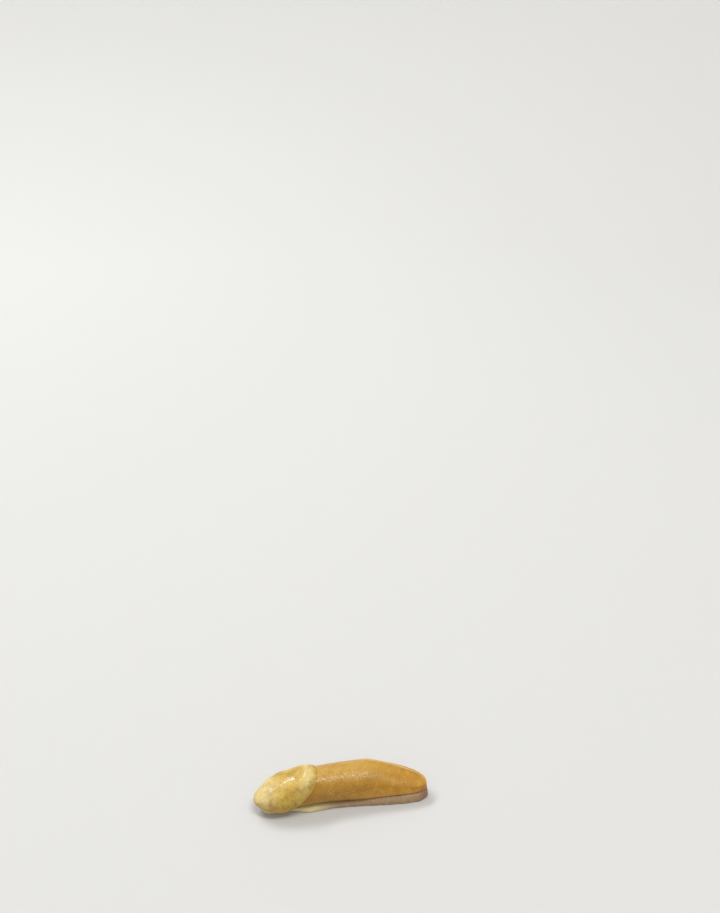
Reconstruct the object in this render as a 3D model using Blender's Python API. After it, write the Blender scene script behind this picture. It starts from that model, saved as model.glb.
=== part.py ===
"""Banana slug at rest, life size, on its sole, with the head drawn in under the mantle.

The head points along -Y, the tail along +Y and the animal's left side along +X. The sole
stands on z = 0, and the origin is the middle of the bounding box's floor.
A place on the animal is (along, around): along is the distance behind the mantle's nose, and
around runs from 0 on the midline of the back, through 0.5 at the widest point of the flank,
to 1 under the belly, positive on the animal's left.
"""

import math

import bmesh
import bpy
from mathutils import Matrix, Vector

MM = 0.001

# Whole animal
LENGTH = 100.0 * MM
GAP = 0.3 * MM
HEAD_BEND = (6.8 * MM, 2)  # how far each end curves to the left, and the curve's power
TAIL_BEND = (4.0 * MM, 3)
BEND_MIDDLE = 50.0 * MM
SIDE_SHIFT = -2.15 * MM  # brings the middle of the bounding box to x = 0
MANTLE_LEAN = math.radians(5.0)
TAIL_LEAN = math.radians(-12.0)
LEAN_CHANGE = (28.0 * MM, 74.0 * MM)

# Back and flanks, without the mantle
NOSE_START = 2.5 * MM
NOSE_WIDTH_REACH = 15.0 * MM
NOSE_WIDTH_POWER = 1.8
NOSE_HEIGHT_REACH = 20.5 * MM
NOSE_HEIGHT_POWER = 1.4
NOSE_BELLY_REACH = 23.0 * MM
NOSE_BELLY_OPENING = 1.75
NOSE_Z = 7.6 * MM
BACK_END = 99.0 * MM
TAIL_WIDTH_REACH = 46.0 * MM
TAIL_WIDTH_POWER = 2.5
TAIL_HEIGHT_REACH = 34.0 * MM
TAIL_HEIGHT_POWER = 1.1
TAIL_BELLY_REACH = 14.0 * MM
TAIL_BELLY_POWER = 2.2
TAIL_Z = 8.7 * MM
POLE_RISE = (25.0 * MM, 60.0 * MM)  # where the level of the nose turns into that of the tail
SHOULDER_HALF_WIDTH = 10.2 * MM
BACK_HALF_WIDTH = 11.2 * MM
BACK_WIDENING = (18.0 * MM, 38.0 * MM)
SHOULDER_HEIGHT = 16.1 * MM
BACK_HEIGHT = 19.1 * MM
BACK_RISE = (22.0 * MM, 33.0 * MM)  # where the saddle under the mantle rises to the back
HUMP_HEIGHT = 18.6 * MM
HUMP_RISE = (36.0 * MM, 68.0 * MM)
WAIST_Z = 8.7 * MM
BELLY_Z = 0.8 * MM
BELLY_SHARE = 0.1  # share of a section's points that lie flat on the foot
KEEL_HEIGHT = 1.2 * MM
KEEL_HALF_WIDTH = 0.045  # of the way round the section
KEEL_RISE = (56.0 * MM, 78.0 * MM)
KEEL_END_REACH = 7.0 * MM
KEEL_TURN = -0.12  # the tail lies rolled a little to its right, and its ridge with it
KEEL_DRIFT = (50.0 * MM, 74.0 * MM)
ROUND_POWER = 2.15  # 2 is an ellipse, and more is squarer
TAIL_ROOF_POWER = 1.7  # a sharper roof over the tail
TAIL_ROOF = (52.0 * MM, 84.0 * MM)
NOSE_BELLY_POWER = 2.7
SHOULDER_BELLY_POWER = 3.4
SHOULDER_SQUARING = (3.0 * MM, 10.0 * MM)
BACK_BELLY_POWER = 2.2
BACK_ROUNDING = (22.0 * MM, 40.0 * MM)
TAIL_BELLY_ROUND = 1.9
TAIL_ROUNDING = (58.0 * MM, 78.0 * MM)
TAIL_END_CROWDING = 1.6  # draws the rings together at the tail's end

# Mantle
MANTLE_THICKNESS = 2.1 * MM
RIM_THICKNESS = 0.8 * MM
RIM_START = 0.8  # share of the way from the nose to the edge where the mantle begins to thin
MANTLE_CROWDING = 1.5  # draws the rings together at the nose
MANTLE_RINGS = (26, 4, 12)  # outer skin, rounded edge, inner skin
MANTLE_SIDES = 48
MANTLE_RUN = 0.97  # a little inside the edge, to find which way the mantle runs off
# The mantle's edge on the left: (along, around)
MANTLE_EDGE = (
    (36.3 * MM, 0.0),
    (35.4 * MM, 0.20),
    (32.8 * MM, 0.34),
    (28.4 * MM, 0.49),
    (23.6 * MM, 0.62),
    (16.0 * MM, 0.73),
    (8.0 * MM, 0.765),
    (4.8 * MM, 0.80),
    (3.4 * MM, 0.88),
    (2.9 * MM, 1.0),
)

# Breathing pore, on the right side of the mantle
PORE_REACH = 0.92  # share of the way from the nose to the mantle's edge
PORE_AROUND = -0.53
PORE_RADIUS = 1.1 * MM
PORE_DEPTH = 0.6 * MM
PORE_LIP = 0.5 * MM
PORE_LIP_FLATNESS = 0.6
PORE_SIDES = (22, 8)  # round the lip, and round its thickness
SLIT_WIDTH = 0.7 * MM
SLIT_DEPTH = 0.35 * MM

# Foot
FOOT_START = 4.2 * MM
FOOT_FRONT_HEIGHT = 2.0 * MM
FOOT_HEIGHT = 3.0 * MM
FOOT_FRONT_RISE = (16.0 * MM, 36.0 * MM)
FOOT_TAIL_HEIGHT = 4.6 * MM
FOOT_TAIL_RISE = (56.0 * MM, 76.0 * MM)
FOOT_FRONT_HALF_WIDTH = 8.6 * MM
FOOT_HALF_WIDTH = 10.9 * MM
FOOT_WIDENING = (19.0 * MM, 31.0 * MM)
FOOT_SPREAD = 1.3 * MM  # the fringe lies wider just behind the mantle
FOOT_SPREAD_PLACE = 34.0 * MM
FOOT_SPREAD_REACH = 8.0 * MM
FOOT_TOP_SHARE = 0.8  # width of the flat that the body stands on, as a share of the foot's width
FOOT_EDGE = 0.7 * MM  # radius of the fringe's edge
FOOT_EDGE_TURN = math.radians(55.0)  # where the rounded edge turns into the fringe's slope
FOOT_BLUNT = 2.0 * MM  # half width below which the foot thins to its ends
FOOT_SHARES = (0.2, 0.7, 0.85)  # half a section, from below: sole, edge, slope, and flat top
FOOT_END_CROWDING = 1.7  # draws the rings together at the foot's ends
FOOT_FRONT_REACH = 11.0 * MM
FOOT_FRONT_POWER = 2.4
FOOT_TAIL_REACH = 33.0 * MM
FOOT_TAIL_POWER = 2.5

# Head
HEAD_START = 3.8 * MM
HEAD_REACH = 5.0 * MM
HEAD_BLUNTNESS = 2.2
HEAD_ROUND = 0.85  # below 1 the muzzle's section is squarer than an ellipse
HEAD_CROWDING = 1.6  # draws the rings together at the muzzle
HEAD_BLEND = 6.0 * MM  # where the muzzle begins to turn into the neck
MUZZLE_HALF_WIDTH = 5.2 * MM
MUZZLE_TOP = 5.8 * MM
MUZZLE_Z = 3.7 * MM
LIP_RADIUS = 1.15 * MM
LIP_SIDE = 0.85 * MM
LIP_Z = 3.5 * MM
LIP_ALONG = 4.4 * MM
LIP_STRETCH = (0.85, 1.1, 1.0)

# Feelers, drawn in to stubs: side, height, front end, root radius, tip radius
UPPER_FEELER = (2.5 * MM, 4.9 * MM, 3.9 * MM, 1.1 * MM, 0.95 * MM)
LOWER_FEELER = (3.4 * MM, 3.1 * MM, 4.4 * MM, 0.75 * MM, 0.6 * MM)
FEELER_ROOT = 6.6 * MM
FEELER_SPREAD = 0.8  # the roots lie closer together than the tips
FEELER_CROWDING = 1.5
EYE_RADIUS = 0.45 * MM
EYE_GAP = 0.2 * MM
EYE_SINK = 0.25  # of the eye's radius, behind the feeler's end

# Where the lengths of the body part
NECK_CUT = 13.5 * MM
SHOULDER_CUT = 31.0 * MM
BACK_CUT = 52.0 * MM
HUMP_CUT = 74.0 * MM
FOOT_CUTS = (36.0 * MM, 68.0 * MM)

# Rings along each form, and points round it
HEAD_GRID = (16, 36)
FEELER_GRID = (10, 16)
BALL_GRID = (12, 8)
SHOULDER_GRID = (10, 40)
BACK_FRONT_GRID = (11, 40)
BACK_REAR_GRID = (12, 40)
TAIL_GRID = (20, 40)
FOOT_END_GRID = (14, 24)
FOOT_MIDDLE_GRID = (12, 24)

YELLOW = (0.52, 0.33, 0.06)
OCHRE = (0.42, 0.23, 0.035)
GREY_BROWN = (0.28, 0.17, 0.11)
PALE_OLIVE = (0.36, 0.27, 0.10)
BLACK = (0.01, 0.008, 0.006)


def clear_scene():
    for thing in list(bpy.data.objects):
        bpy.data.objects.remove(thing, do_unlink=True)


def skin(name, colour, roughness=0.3):
    """One of the animal's wet skins."""
    material = bpy.data.materials.new(name)
    material.use_nodes = True
    shader = material.node_tree.nodes["Principled BSDF"]
    shader.inputs["Base Color"].default_value = (*colour, 1.0)
    shader.inputs["Roughness"].default_value = roughness
    shader.inputs["Metallic"].default_value = 0.0
    return material


def share(value, low, high):
    return min(max((value - low) / (high - low), 0.0), 1.0)


def eased(value, low, high):
    """0 below low, 1 above high, with a smooth rise between."""
    part = share(value, low, high)
    return part * part * (3.0 - 2.0 * part)


def mixed(first, second, part):
    return first + (second - first) * part


def rounded(distance, reach, power=2.0):
    """Opens from 0 at an end of the body to 1 at reach, as a superellipse does."""
    return (1.0 - (1.0 - share(distance, 0.0, reach)) ** power) ** (1.0 / power)


def spine(along):
    """How far the body's middle lies to the left of the frame's middle."""
    bend, power = HEAD_BEND if along < BEND_MIDDLE else TAIL_BEND
    return SIDE_SHIFT + bend * abs((along - BEND_MIDDLE) / (LENGTH / 2)) ** power


def lean(along):
    """The slight twist of the body: the mantle leans left and the tail leans right."""
    return mixed(MANTLE_LEAN, TAIL_LEAN, eased(along, *LEAN_CHANGE))


def placed(along, across, height):
    """A point of the section at along, bent with the spine and sheared by the lean."""
    tilt = math.tan(lean(along)) * max(height - FOOT_HEIGHT, 0.0)
    return Vector((spine(along) + across + tilt, along - LENGTH / 2, height))


def foot_height(along):
    front = mixed(FOOT_FRONT_HEIGHT, FOOT_HEIGHT, eased(along, *FOOT_FRONT_RISE))
    return mixed(front, FOOT_TAIL_HEIGHT, eased(along, *FOOT_TAIL_RISE))


def foot_half_width(along):
    full = mixed(FOOT_FRONT_HALF_WIDTH, FOOT_HALF_WIDTH, eased(along, *FOOT_WIDENING))
    full += FOOT_SPREAD * math.exp(-(((along - FOOT_SPREAD_PLACE) / FOOT_SPREAD_REACH) ** 2))
    front = rounded(along - FOOT_START, FOOT_FRONT_REACH, FOOT_FRONT_POWER)
    tail = rounded(LENGTH - along, FOOT_TAIL_REACH, FOOT_TAIL_POWER)
    return full * front * tail


def keel(along, around):
    """The ridge along the midline of the tail."""
    rise = eased(along, *KEEL_RISE) * rounded(BACK_END - along, KEEL_END_REACH)
    aside = around - KEEL_TURN * eased(along, *KEEL_DRIFT)
    return KEEL_HEIGHT * rise * math.exp(-((aside / KEEL_HALF_WIDTH) ** 2))


def body_point(along, around, grow=0.0):
    """The surface of the back and flanks, moved out by grow."""
    around = around - 2.0 * round(around / 2.0)
    wide = rounded(BACK_END - along + grow, TAIL_WIDTH_REACH + grow, TAIL_WIDTH_POWER)
    wide *= rounded(along - NOSE_START + grow, NOSE_WIDTH_REACH + grow, NOSE_WIDTH_POWER)
    high = rounded(BACK_END - along + grow, TAIL_HEIGHT_REACH + grow, TAIL_HEIGHT_POWER)
    high *= rounded(along - NOSE_START + grow, NOSE_HEIGHT_REACH + grow, NOSE_HEIGHT_POWER)
    low = rounded(BACK_END - along + grow, TAIL_BELLY_REACH + grow, TAIL_BELLY_POWER)
    low *= rounded(along - NOSE_START + grow, NOSE_BELLY_REACH + grow, NOSE_BELLY_OPENING)
    pole = mixed(NOSE_Z, TAIL_Z, eased(along, *POLE_RISE))
    half_width = mixed(SHOULDER_HALF_WIDTH, BACK_HALF_WIDTH, eased(along, *BACK_WIDENING))
    saddle = mixed(SHOULDER_HEIGHT, BACK_HEIGHT, eased(along, *BACK_RISE))
    crown = mixed(saddle, HUMP_HEIGHT, eased(along, *HUMP_RISE))
    side, turn = math.copysign(1.0, around), abs(around)
    if turn <= 0.5:
        roof = mixed(ROUND_POWER, TAIL_ROOF_POWER, eased(along, *TAIL_ROOF))
        flank = ROUND_POWER
        end = pole + (crown + grow - pole) * high
    else:
        front = mixed(NOSE_BELLY_POWER, SHOULDER_BELLY_POWER, eased(along, *SHOULDER_SQUARING))
        rear = mixed(BACK_BELLY_POWER, TAIL_BELLY_ROUND, eased(along, *TAIL_ROUNDING))
        roof = flank = mixed(front, rear, eased(along, *BACK_ROUNDING))
        end = pole + (BELLY_Z - grow - pole) * low
    angle = math.pi * turn
    across = abs(math.sin(angle)) ** (2.0 / roof)
    climb = abs(math.cos(angle)) ** (2.0 / flank)
    waist = pole + (WAIST_Z - pole) * high
    height = waist + (end - waist) * climb
    height += keel(along, around)
    return placed(along, side * (half_width + grow) * wide * across, height)


def floor_turn(along, height):
    """The around at which the lower flank comes down to height, found by halving."""
    low, high = 0.5, 1.0
    for _ in range(30):
        middle = (low + high) / 2
        if body_point(along, middle).z > height:
            low = middle
        else:
            high = middle
    return (low + high) / 2


def section_point(along, column):
    """The section of the back at a share of the way round, flat where it lies on the foot."""
    limit = floor_turn(along, foot_height(along) + GAP)
    if BELLY_SHARE / 2 <= column <= 1.0 - BELLY_SHARE / 2:
        return body_point(along, limit * (2.0 * column - 1.0) / (1.0 - BELLY_SHARE))
    left, right = body_point(along, limit), body_point(along, -limit)
    past = column - 1.0 if column > 0.5 else column
    return right.lerp(left, 0.5 - past / BELLY_SHARE)


def sheet_tube(name, surface, rings, sides):
    """A closed mesh: a grid rolled into a tube by surface(row, column), each from 0 to 1."""
    shape = bmesh.new()
    bmesh.ops.create_grid(shape, x_segments=rings, y_segments=sides, size=0.5)
    for vertex in shape.verts:
        column = vertex.co.y + 0.5
        if column > 1.0 - 1e-6:
            column = 0.0
        vertex.co = surface(vertex.co.x + 0.5, column)
    bmesh.ops.remove_doubles(shape, verts=shape.verts, dist=1e-6)
    open_edges = [edge for edge in shape.edges if edge.is_boundary]
    if open_edges:
        bmesh.ops.holes_fill(shape, edges=open_edges, sides=0)
    bmesh.ops.dissolve_degenerate(shape, edges=shape.edges, dist=1e-7)
    bmesh.ops.recalc_face_normals(shape, faces=shape.faces)
    mesh = bpy.data.meshes.new(name)
    shape.to_mesh(mesh)
    shape.free()
    return mesh


def add_part(name, mesh, material, parts, smooth_angle=50.0):
    mesh.materials.clear()
    mesh.materials.append(material)
    mesh.shade_smooth()
    mesh.set_sharp_from_angle(angle=math.radians(smooth_angle))
    part = bpy.data.objects.new(name, mesh)
    parts.objects.link(part)
    return part


def body_length(name, start, end, grid, material, parts):
    """One length of the back, from start to end, open to its neighbours by the gap."""
    first = start + GAP / 2
    last = end - GAP / 2 if end < BACK_END else BACK_END

    def surface(row, column):
        if end >= BACK_END:
            row = 1.0 - (1.0 - row) ** TAIL_END_CROWDING
        return section_point(mixed(first, last, row), column)

    return add_part(name, sheet_tube(name, surface, *grid), material, parts)


def foot_profile(turn, half_width, thick):
    """Half a section of the foot, from the middle of the sole at turn 0 to the middle of its top."""
    edge = min(FOOT_EDGE, half_width / 2, thick / 2)
    top = FOOT_TOP_SHARE * half_width
    sole_end, edge_end, slope_end = FOOT_SHARES
    if turn <= sole_end:
        return (half_width - edge) * turn / sole_end, 0.0
    angle = mixed(-math.pi / 2, FOOT_EDGE_TURN, share(turn, sole_end, edge_end))
    across = half_width - edge + edge * math.cos(angle)
    height = edge + edge * math.sin(angle)
    if turn <= edge_end:
        return across, height
    part = share(turn, edge_end, slope_end)
    if part < 1.0:
        return mixed(across, top, part), mixed(height, thick, part)
    return top * (1.0 - share(turn, slope_end, 1.0)), thick


def foot_length(name, start, end, grid, material, parts):
    """One length of the foot: a flat sole, and a fringe that slopes up to the body's base."""
    first = start if start <= FOOT_START else start + GAP / 2
    last = end if end >= LENGTH else end - GAP / 2

    def surface(row, column):
        if start <= FOOT_START:
            row = row**FOOT_END_CROWDING
        if end >= LENGTH:
            row = 1.0 - (1.0 - row) ** FOOT_END_CROWDING
        along = mixed(first, last, row)
        half_width = foot_half_width(along)
        thick = foot_height(along) * min(1.0, (half_width / FOOT_BLUNT) ** 0.5)
        side, turn = (1.0, 2.0 * column) if column <= 0.5 else (-1.0, 2.0 - 2.0 * column)
        across, height = foot_profile(turn, half_width, thick)
        return placed(along, side * across, height)

    return add_part(name, sheet_tube(name, surface, *grid), material, parts)


def follow(points, value):
    """Smooth curve through the (place, value) points, at a value of the second number."""
    count = len(points)
    for index in range(count - 1):
        if value <= points[index + 1][1] or index == count - 2:
            break
    before, low = points[max(index - 1, 0)], points[index]
    high, after = points[index + 1], points[min(index + 2, count - 1)]
    part = share(value, low[1], high[1])
    step = high[1] - low[1]
    slope_low = (high[0] - before[0]) / (high[1] - before[1]) if index > 0 else 0.0
    slope_high = (after[0] - low[0]) / (after[1] - low[1]) if index < count - 2 else 0.0
    square, cube = part * part, part * part * part
    return (
        (2 * cube - 3 * square + 1) * low[0]
        + (cube - 2 * square + part) * step * slope_low
        + (3 * square - 2 * cube) * high[0]
        + (cube - square) * step * slope_high
    )


def mantle_edge(around):
    """Where the mantle ends, as a distance along the body under it."""
    return follow(MANTLE_EDGE, abs(around))


def body_normal(along, around, grow):
    """The outward direction of the body's surface."""
    small = 0.02 * MM
    turn = 0.002
    first = max(along - small, NOSE_START - grow + 1e-7)
    forward = body_point(along + small, around, grow) - body_point(first, around, grow)
    sideways = body_point(along, around + turn, grow) - body_point(along, around - turn, grow)
    return sideways.cross(forward).normalized()


def mantle_point(reach, around, layer):
    """The mantle at a share of the way from the nose to its edge; layer is 0 inside, 1 outside."""
    start = NOSE_START - GAP
    end = mantle_edge(around)
    along = mixed(start, end, reach**MANTLE_CROWDING)
    thickness = mixed(MANTLE_THICKNESS, RIM_THICKNESS, eased(reach, RIM_START, 1.0))
    if reach <= 0.0:
        pole = body_point(start, 0.0, GAP)
        return pole + Vector((0.0, -1.0, 0.0)) * thickness * layer
    return body_point(along, around, GAP) + body_normal(along, around, GAP) * thickness * layer


def mantle(material, parts):
    """The fleshy shield: outer skin, rounded edge and inner skin as one sheet."""
    outer, lip, inner = MANTLE_RINGS
    rings = outer + lip + inner

    def surface(row, column):
        around = 2.0 * column - 1.0
        step = round(row * rings)
        if step <= outer:
            return mantle_point(step / outer, around, 1.0)
        if step >= outer + lip:
            return mantle_point((rings - step) / inner, around, 0.0)
        turn = math.pi * (step - outer) / lip
        middle = mantle_point(1.0, around, 0.5)
        outward = middle - mantle_point(MANTLE_RUN, around, 0.5)
        swing = mantle_point(1.0, around, 1.0) - middle
        return middle + swing * math.cos(turn) + outward.normalized() * swing.length * math.sin(turn)

    mesh = sheet_tube("mantle", surface, rings, MANTLE_SIDES)
    return add_part("mantle", mesh, material, parts, smooth_angle=60.0)


def head_point(row, column):
    """The muzzle at row 0, turning into the section of the neck at row 1."""
    along = mixed(HEAD_START, NECK_CUT - GAP / 2, row**HEAD_CROWDING)
    around = 2.0 * column - 1.0
    opening = rounded(along - HEAD_START, HEAD_REACH, HEAD_BLUNTNESS)
    rise = MUZZLE_TOP - MUZZLE_Z if abs(around) < 0.5 else MUZZLE_Z - foot_height(along) - GAP
    angle = math.pi * around
    across = math.copysign(abs(math.sin(angle)) ** HEAD_ROUND, angle) * MUZZLE_HALF_WIDTH * opening
    up = math.copysign(abs(math.cos(angle)) ** HEAD_ROUND, math.cos(angle)) * rise * opening
    muzzle = placed(along, across, MUZZLE_Z + up)
    return muzzle.lerp(section_point(along, column), eased(along, HEAD_BLEND, NECK_CUT))


def feeler_mesh(name, side, sizes, grow=0.0):
    """A drawn-in feeler: a short blunt stub that points forward."""
    aside, height, front, root_radius, tip_radius = sizes
    root = placed(FEELER_ROOT + grow, side * aside * FEELER_SPREAD, height)
    tip = placed(front, side * aside, height)
    forward = (tip - root).normalized()
    across = forward.cross(Vector((0.0, 0.0, 1.0))).normalized()
    up = across.cross(forward)

    def surface(row, column):
        distance = (tip - root).length + grow
        past = 1.0 - (1.0 - row) ** FEELER_CROWDING
        radius = mixed(root_radius, tip_radius, past) + grow
        radius *= rounded((1.0 - past) * distance, tip_radius + grow)
        angle = 2.0 * math.pi * column
        return root + forward * distance * past + (across * math.cos(angle) + up * math.sin(angle)) * radius

    return sheet_tube(name, surface, *FEELER_GRID)


def ball_mesh(name, centre, radius, stretch=(1.0, 1.0, 1.0), turn=None):
    shape = bmesh.new()
    around, across = BALL_GRID
    bmesh.ops.create_uvsphere(shape, u_segments=around, v_segments=across, radius=radius)
    place = Matrix.Translation(centre) @ (turn or Matrix()) @ Matrix.Diagonal((*stretch, 1.0))
    bmesh.ops.transform(shape, matrix=place, verts=shape.verts)
    mesh = bpy.data.meshes.new(name)
    shape.to_mesh(mesh)
    shape.free()
    return mesh


def add_cutter(name, mesh, cutters):
    cutter = bpy.data.objects.new(name, mesh)
    cutters.objects.link(cutter)
    cutter.display_type = "WIRE"
    cutter.hide_render = True
    return cutter


def combine(part, other, operation):
    """Cuts other out of part, or joins it on."""
    change = part.modifiers.new(other.name, "BOOLEAN")
    change.operation = operation
    change.object = other


def head(material, parts, cutters):
    """The head drawn in under the mantle, with two lobed lips and the mouth between them."""
    part = add_part("head", sheet_tube("head", head_point, *HEAD_GRID), material, parts)
    for side, hand in ((1, "left"), (-1, "right")):
        centre = placed(LIP_ALONG, side * LIP_SIDE, LIP_Z)
        lobe = ball_mesh(f"lip_{hand}", centre, LIP_RADIUS, LIP_STRETCH)
        combine(part, add_cutter(f"lip_{hand}", lobe, cutters), "UNION")
    return part


def feelers(head_part, skin_material, eye_material, parts, cutters):
    """Two pairs of feelers in sockets of the head, and an eye on each upper one."""
    for side, hand in ((1, "left"), (-1, "right")):
        for level, sizes in (("upper", UPPER_FEELER), ("lower", LOWER_FEELER)):
            name = f"tentacle_{level}_{hand}"
            stub = add_part(name, feeler_mesh(name, side, sizes), skin_material, parts)
            socket = add_cutter(f"{name}_socket", feeler_mesh(name, side, sizes, GAP), cutters)
            combine(head_part, socket, "DIFFERENCE")
            if level == "upper":
                aside, height, front = sizes[:3]
                centre = placed(front + EYE_SINK * EYE_RADIUS, side * aside, height)
                add_part(f"eye_{hand}", ball_mesh(f"eye_{hand}", centre, EYE_RADIUS), eye_material, parts)
                bed = ball_mesh(f"eye_bed_{hand}", centre, EYE_RADIUS + EYE_GAP)
                combine(stub, add_cutter(f"eye_bed_{hand}", bed, cutters), "DIFFERENCE")


def pore(mantle_part, cutters):
    """The breathing pore: a raised lip round a pit, with a slit down to the mantle's edge."""
    centre = mantle_point(PORE_REACH, PORE_AROUND, 1.0)
    out = (centre - mantle_point(PORE_REACH, PORE_AROUND, 0.0)).normalized()
    turn = out.to_track_quat("Z", "Y").to_matrix().to_4x4()
    around_lip, across_lip = PORE_SIDES
    bpy.ops.mesh.primitive_torus_add(
        major_radius=PORE_RADIUS + PORE_LIP / 2,
        minor_radius=PORE_LIP,
        major_segments=around_lip,
        minor_segments=across_lip,
    )
    torus = bpy.context.object
    ring = torus.data
    bpy.data.objects.remove(torus)
    flat = Matrix.Diagonal((1.0, 1.0, PORE_LIP_FLATNESS, 1.0))
    ring.transform(Matrix.Translation(centre) @ turn @ flat)
    combine(mantle_part, add_cutter("pore_lip", ring, cutters), "UNION")
    pit = ball_mesh("pore_pit", centre, PORE_RADIUS, (1.0, 1.0, PORE_DEPTH / PORE_RADIUS), turn)
    combine(mantle_part, add_cutter("pore_pit", pit, cutters), "DIFFERENCE")
    edge = mantle_point(1.0, PORE_AROUND, 1.0)
    run = edge - centre
    side = out.cross(run).normalized()
    frame = Matrix((run.normalized(), side, run.normalized().cross(side))).transposed().to_4x4()
    half_length = run.length / 2 + SLIT_WIDTH
    stretch = (1.0, SLIT_WIDTH / 2 / half_length, SLIT_DEPTH / half_length)
    slit = ball_mesh("pore_slit", centre + run / 2, half_length, stretch, frame)
    combine(mantle_part, add_cutter("pore_slit", slit, cutters), "DIFFERENCE")


def build():
    clear_scene()
    scene = bpy.context.scene
    parts = bpy.data.collections.new("banana_slug")
    scene.collection.children.link(parts)
    cutters = bpy.data.collections.new("cutters")
    scene.collection.children.link(cutters)
    ochre = skin("ochre_skin", OCHRE)
    yellow = skin("mantle_skin", YELLOW)
    grey = skin("foot_skin", GREY_BROWN)
    black = skin("eye", BLACK, 0.08)
    pale = skin("head_skin", PALE_OLIVE)
    pore(mantle(yellow, parts), cutters)
    feelers(head(pale, parts, cutters), pale, black, parts, cutters)
    body_length("shoulders", NECK_CUT, SHOULDER_CUT, SHOULDER_GRID, ochre, parts)
    body_length("back_front", SHOULDER_CUT, BACK_CUT, BACK_FRONT_GRID, ochre, parts)
    body_length("back_rear", BACK_CUT, HUMP_CUT, BACK_REAR_GRID, ochre, parts)
    body_length("tail", HUMP_CUT, BACK_END, TAIL_GRID, ochre, parts)
    foot_length("foot_front", FOOT_START, FOOT_CUTS[0], FOOT_END_GRID, grey, parts)
    foot_length("foot_middle", *FOOT_CUTS, FOOT_MIDDLE_GRID, grey, parts)
    foot_length("foot_rear", FOOT_CUTS[1], LENGTH, FOOT_END_GRID, grey, parts)


build()
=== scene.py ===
"""The looks of a life-size banana slug at rest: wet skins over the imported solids.

The head points along -Y, the tail along +Y and the animal's left side along +X. The sole
lies on z = 0. As in the solids, a place on the body is (along, around): along is the distance
behind the mantle's nose, and around runs from 0 on the midline of the back, through 0.5 at
the widest point of the flank, to 1 under the belly, positive on the left.
"""

import math

import bmesh
import bpy
import numpy as np
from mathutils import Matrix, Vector


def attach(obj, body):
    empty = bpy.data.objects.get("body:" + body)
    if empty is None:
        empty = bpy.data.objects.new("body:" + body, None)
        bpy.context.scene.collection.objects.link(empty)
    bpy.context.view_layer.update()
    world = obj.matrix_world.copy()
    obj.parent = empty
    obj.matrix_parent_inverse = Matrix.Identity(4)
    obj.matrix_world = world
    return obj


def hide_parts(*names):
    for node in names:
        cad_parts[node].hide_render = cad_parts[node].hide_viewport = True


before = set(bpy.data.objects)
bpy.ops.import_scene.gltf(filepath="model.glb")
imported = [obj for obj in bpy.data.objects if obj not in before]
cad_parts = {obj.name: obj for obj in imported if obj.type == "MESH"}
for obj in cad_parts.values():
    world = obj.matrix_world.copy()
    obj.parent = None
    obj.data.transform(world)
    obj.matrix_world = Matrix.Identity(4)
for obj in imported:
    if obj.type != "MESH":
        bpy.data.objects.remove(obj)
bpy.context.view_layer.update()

MM = 0.001

# Whole animal
LENGTH = 100.0 * MM
GAP = 0.3 * MM
HEAD_BEND = (6.8 * MM, 2)  # how far each end curves to the left, and the curve's power
TAIL_BEND = (4.0 * MM, 3)
BEND_MIDDLE = 50.0 * MM
SIDE_SHIFT = -2.15 * MM  # brings the bent body back over the middle
MANTLE_LEAN = math.radians(5.0)
TAIL_LEAN = math.radians(-12.0)
LEAN_CHANGE = (28.0 * MM, 74.0 * MM)
FLOOR_TOUCH = 0.001 * MM  # points as low as this stay on the floor
WELD = 0.001 * MM
HALVINGS = 30
# The waves of uneven: height, turns, how much the start shifts it, and its own shift
WAVES = ((0.5, 1.0, 1.0, 0.0), (0.3, 1.73, 2.1, 1.0), (0.2, 0.41, 0.6, 2.0))

# Back and flanks
NOSE_START = 2.5 * MM
NOSE_WIDTH_REACH = 15.0 * MM
NOSE_WIDTH_POWER = 1.8
NOSE_HEIGHT_REACH = 20.5 * MM
NOSE_HEIGHT_POWER = 1.4
NOSE_BELLY_REACH = 23.0 * MM
NOSE_BELLY_OPENING = 1.75
NOSE_Z = 7.6 * MM
NOSE_BLUNTING = 0.14  # the nose is round, not pointed, over this share of its reach
BACK_END = 99.0 * MM
TAIL_WIDTH_REACH = 46.0 * MM
TAIL_WIDTH_POWER = 2.5
TAIL_HEIGHT_REACH = 34.0 * MM
TAIL_HEIGHT_POWER = 1.1
TAIL_BELLY_REACH = 14.0 * MM
TAIL_BELLY_POWER = 2.2
TAIL_Z = 8.7 * MM
POLE_RISE = (25.0 * MM, 60.0 * MM)
SHOULDER_HALF_WIDTH = 10.2 * MM
BACK_HALF_WIDTH = 11.2 * MM
BACK_WIDENING = (18.0 * MM, 38.0 * MM)
SHOULDER_HEIGHT = 16.1 * MM
BACK_HEIGHT = 19.1 * MM
BACK_RISE = (22.0 * MM, 33.0 * MM)
HUMP_HEIGHT = 18.6 * MM
HUMP_RISE = (36.0 * MM, 68.0 * MM)
WAIST_Z = 8.7 * MM
BELLY_Z = 0.8 * MM
KEEL_HEIGHT = 1.2 * MM
KEEL_HALF_WIDTH = 0.045
KEEL_RISE = (56.0 * MM, 78.0 * MM)
KEEL_END_REACH = 7.0 * MM
KEEL_TURN = -0.12
KEEL_DRIFT = (40.0 * MM, 66.0 * MM)
KEEL_TOOTH = 1.3 * MM
KEEL_TOOTH_DEPTH = 0.14
KEEL_TOOTH_START = 0.4
# the pale line is partly the keel's own paler skin, partly a painted highlight along the crest
KEEL_LINE = 0.6 * MM  # half width of the pale line along the crest
KEEL_LINE_RISE = (60.0 * MM, 74.0 * MM)
ROUND_POWER = 2.15
TAIL_ROOF_POWER = 1.7
TAIL_ROOF = (52.0 * MM, 84.0 * MM)
NOSE_BELLY_POWER = 2.7
SHOULDER_BELLY_POWER = 3.4
SHOULDER_SQUARING = (3.0 * MM, 10.0 * MM)
BACK_BELLY_POWER = 2.2
BACK_ROUNDING = (22.0 * MM, 40.0 * MM)
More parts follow.
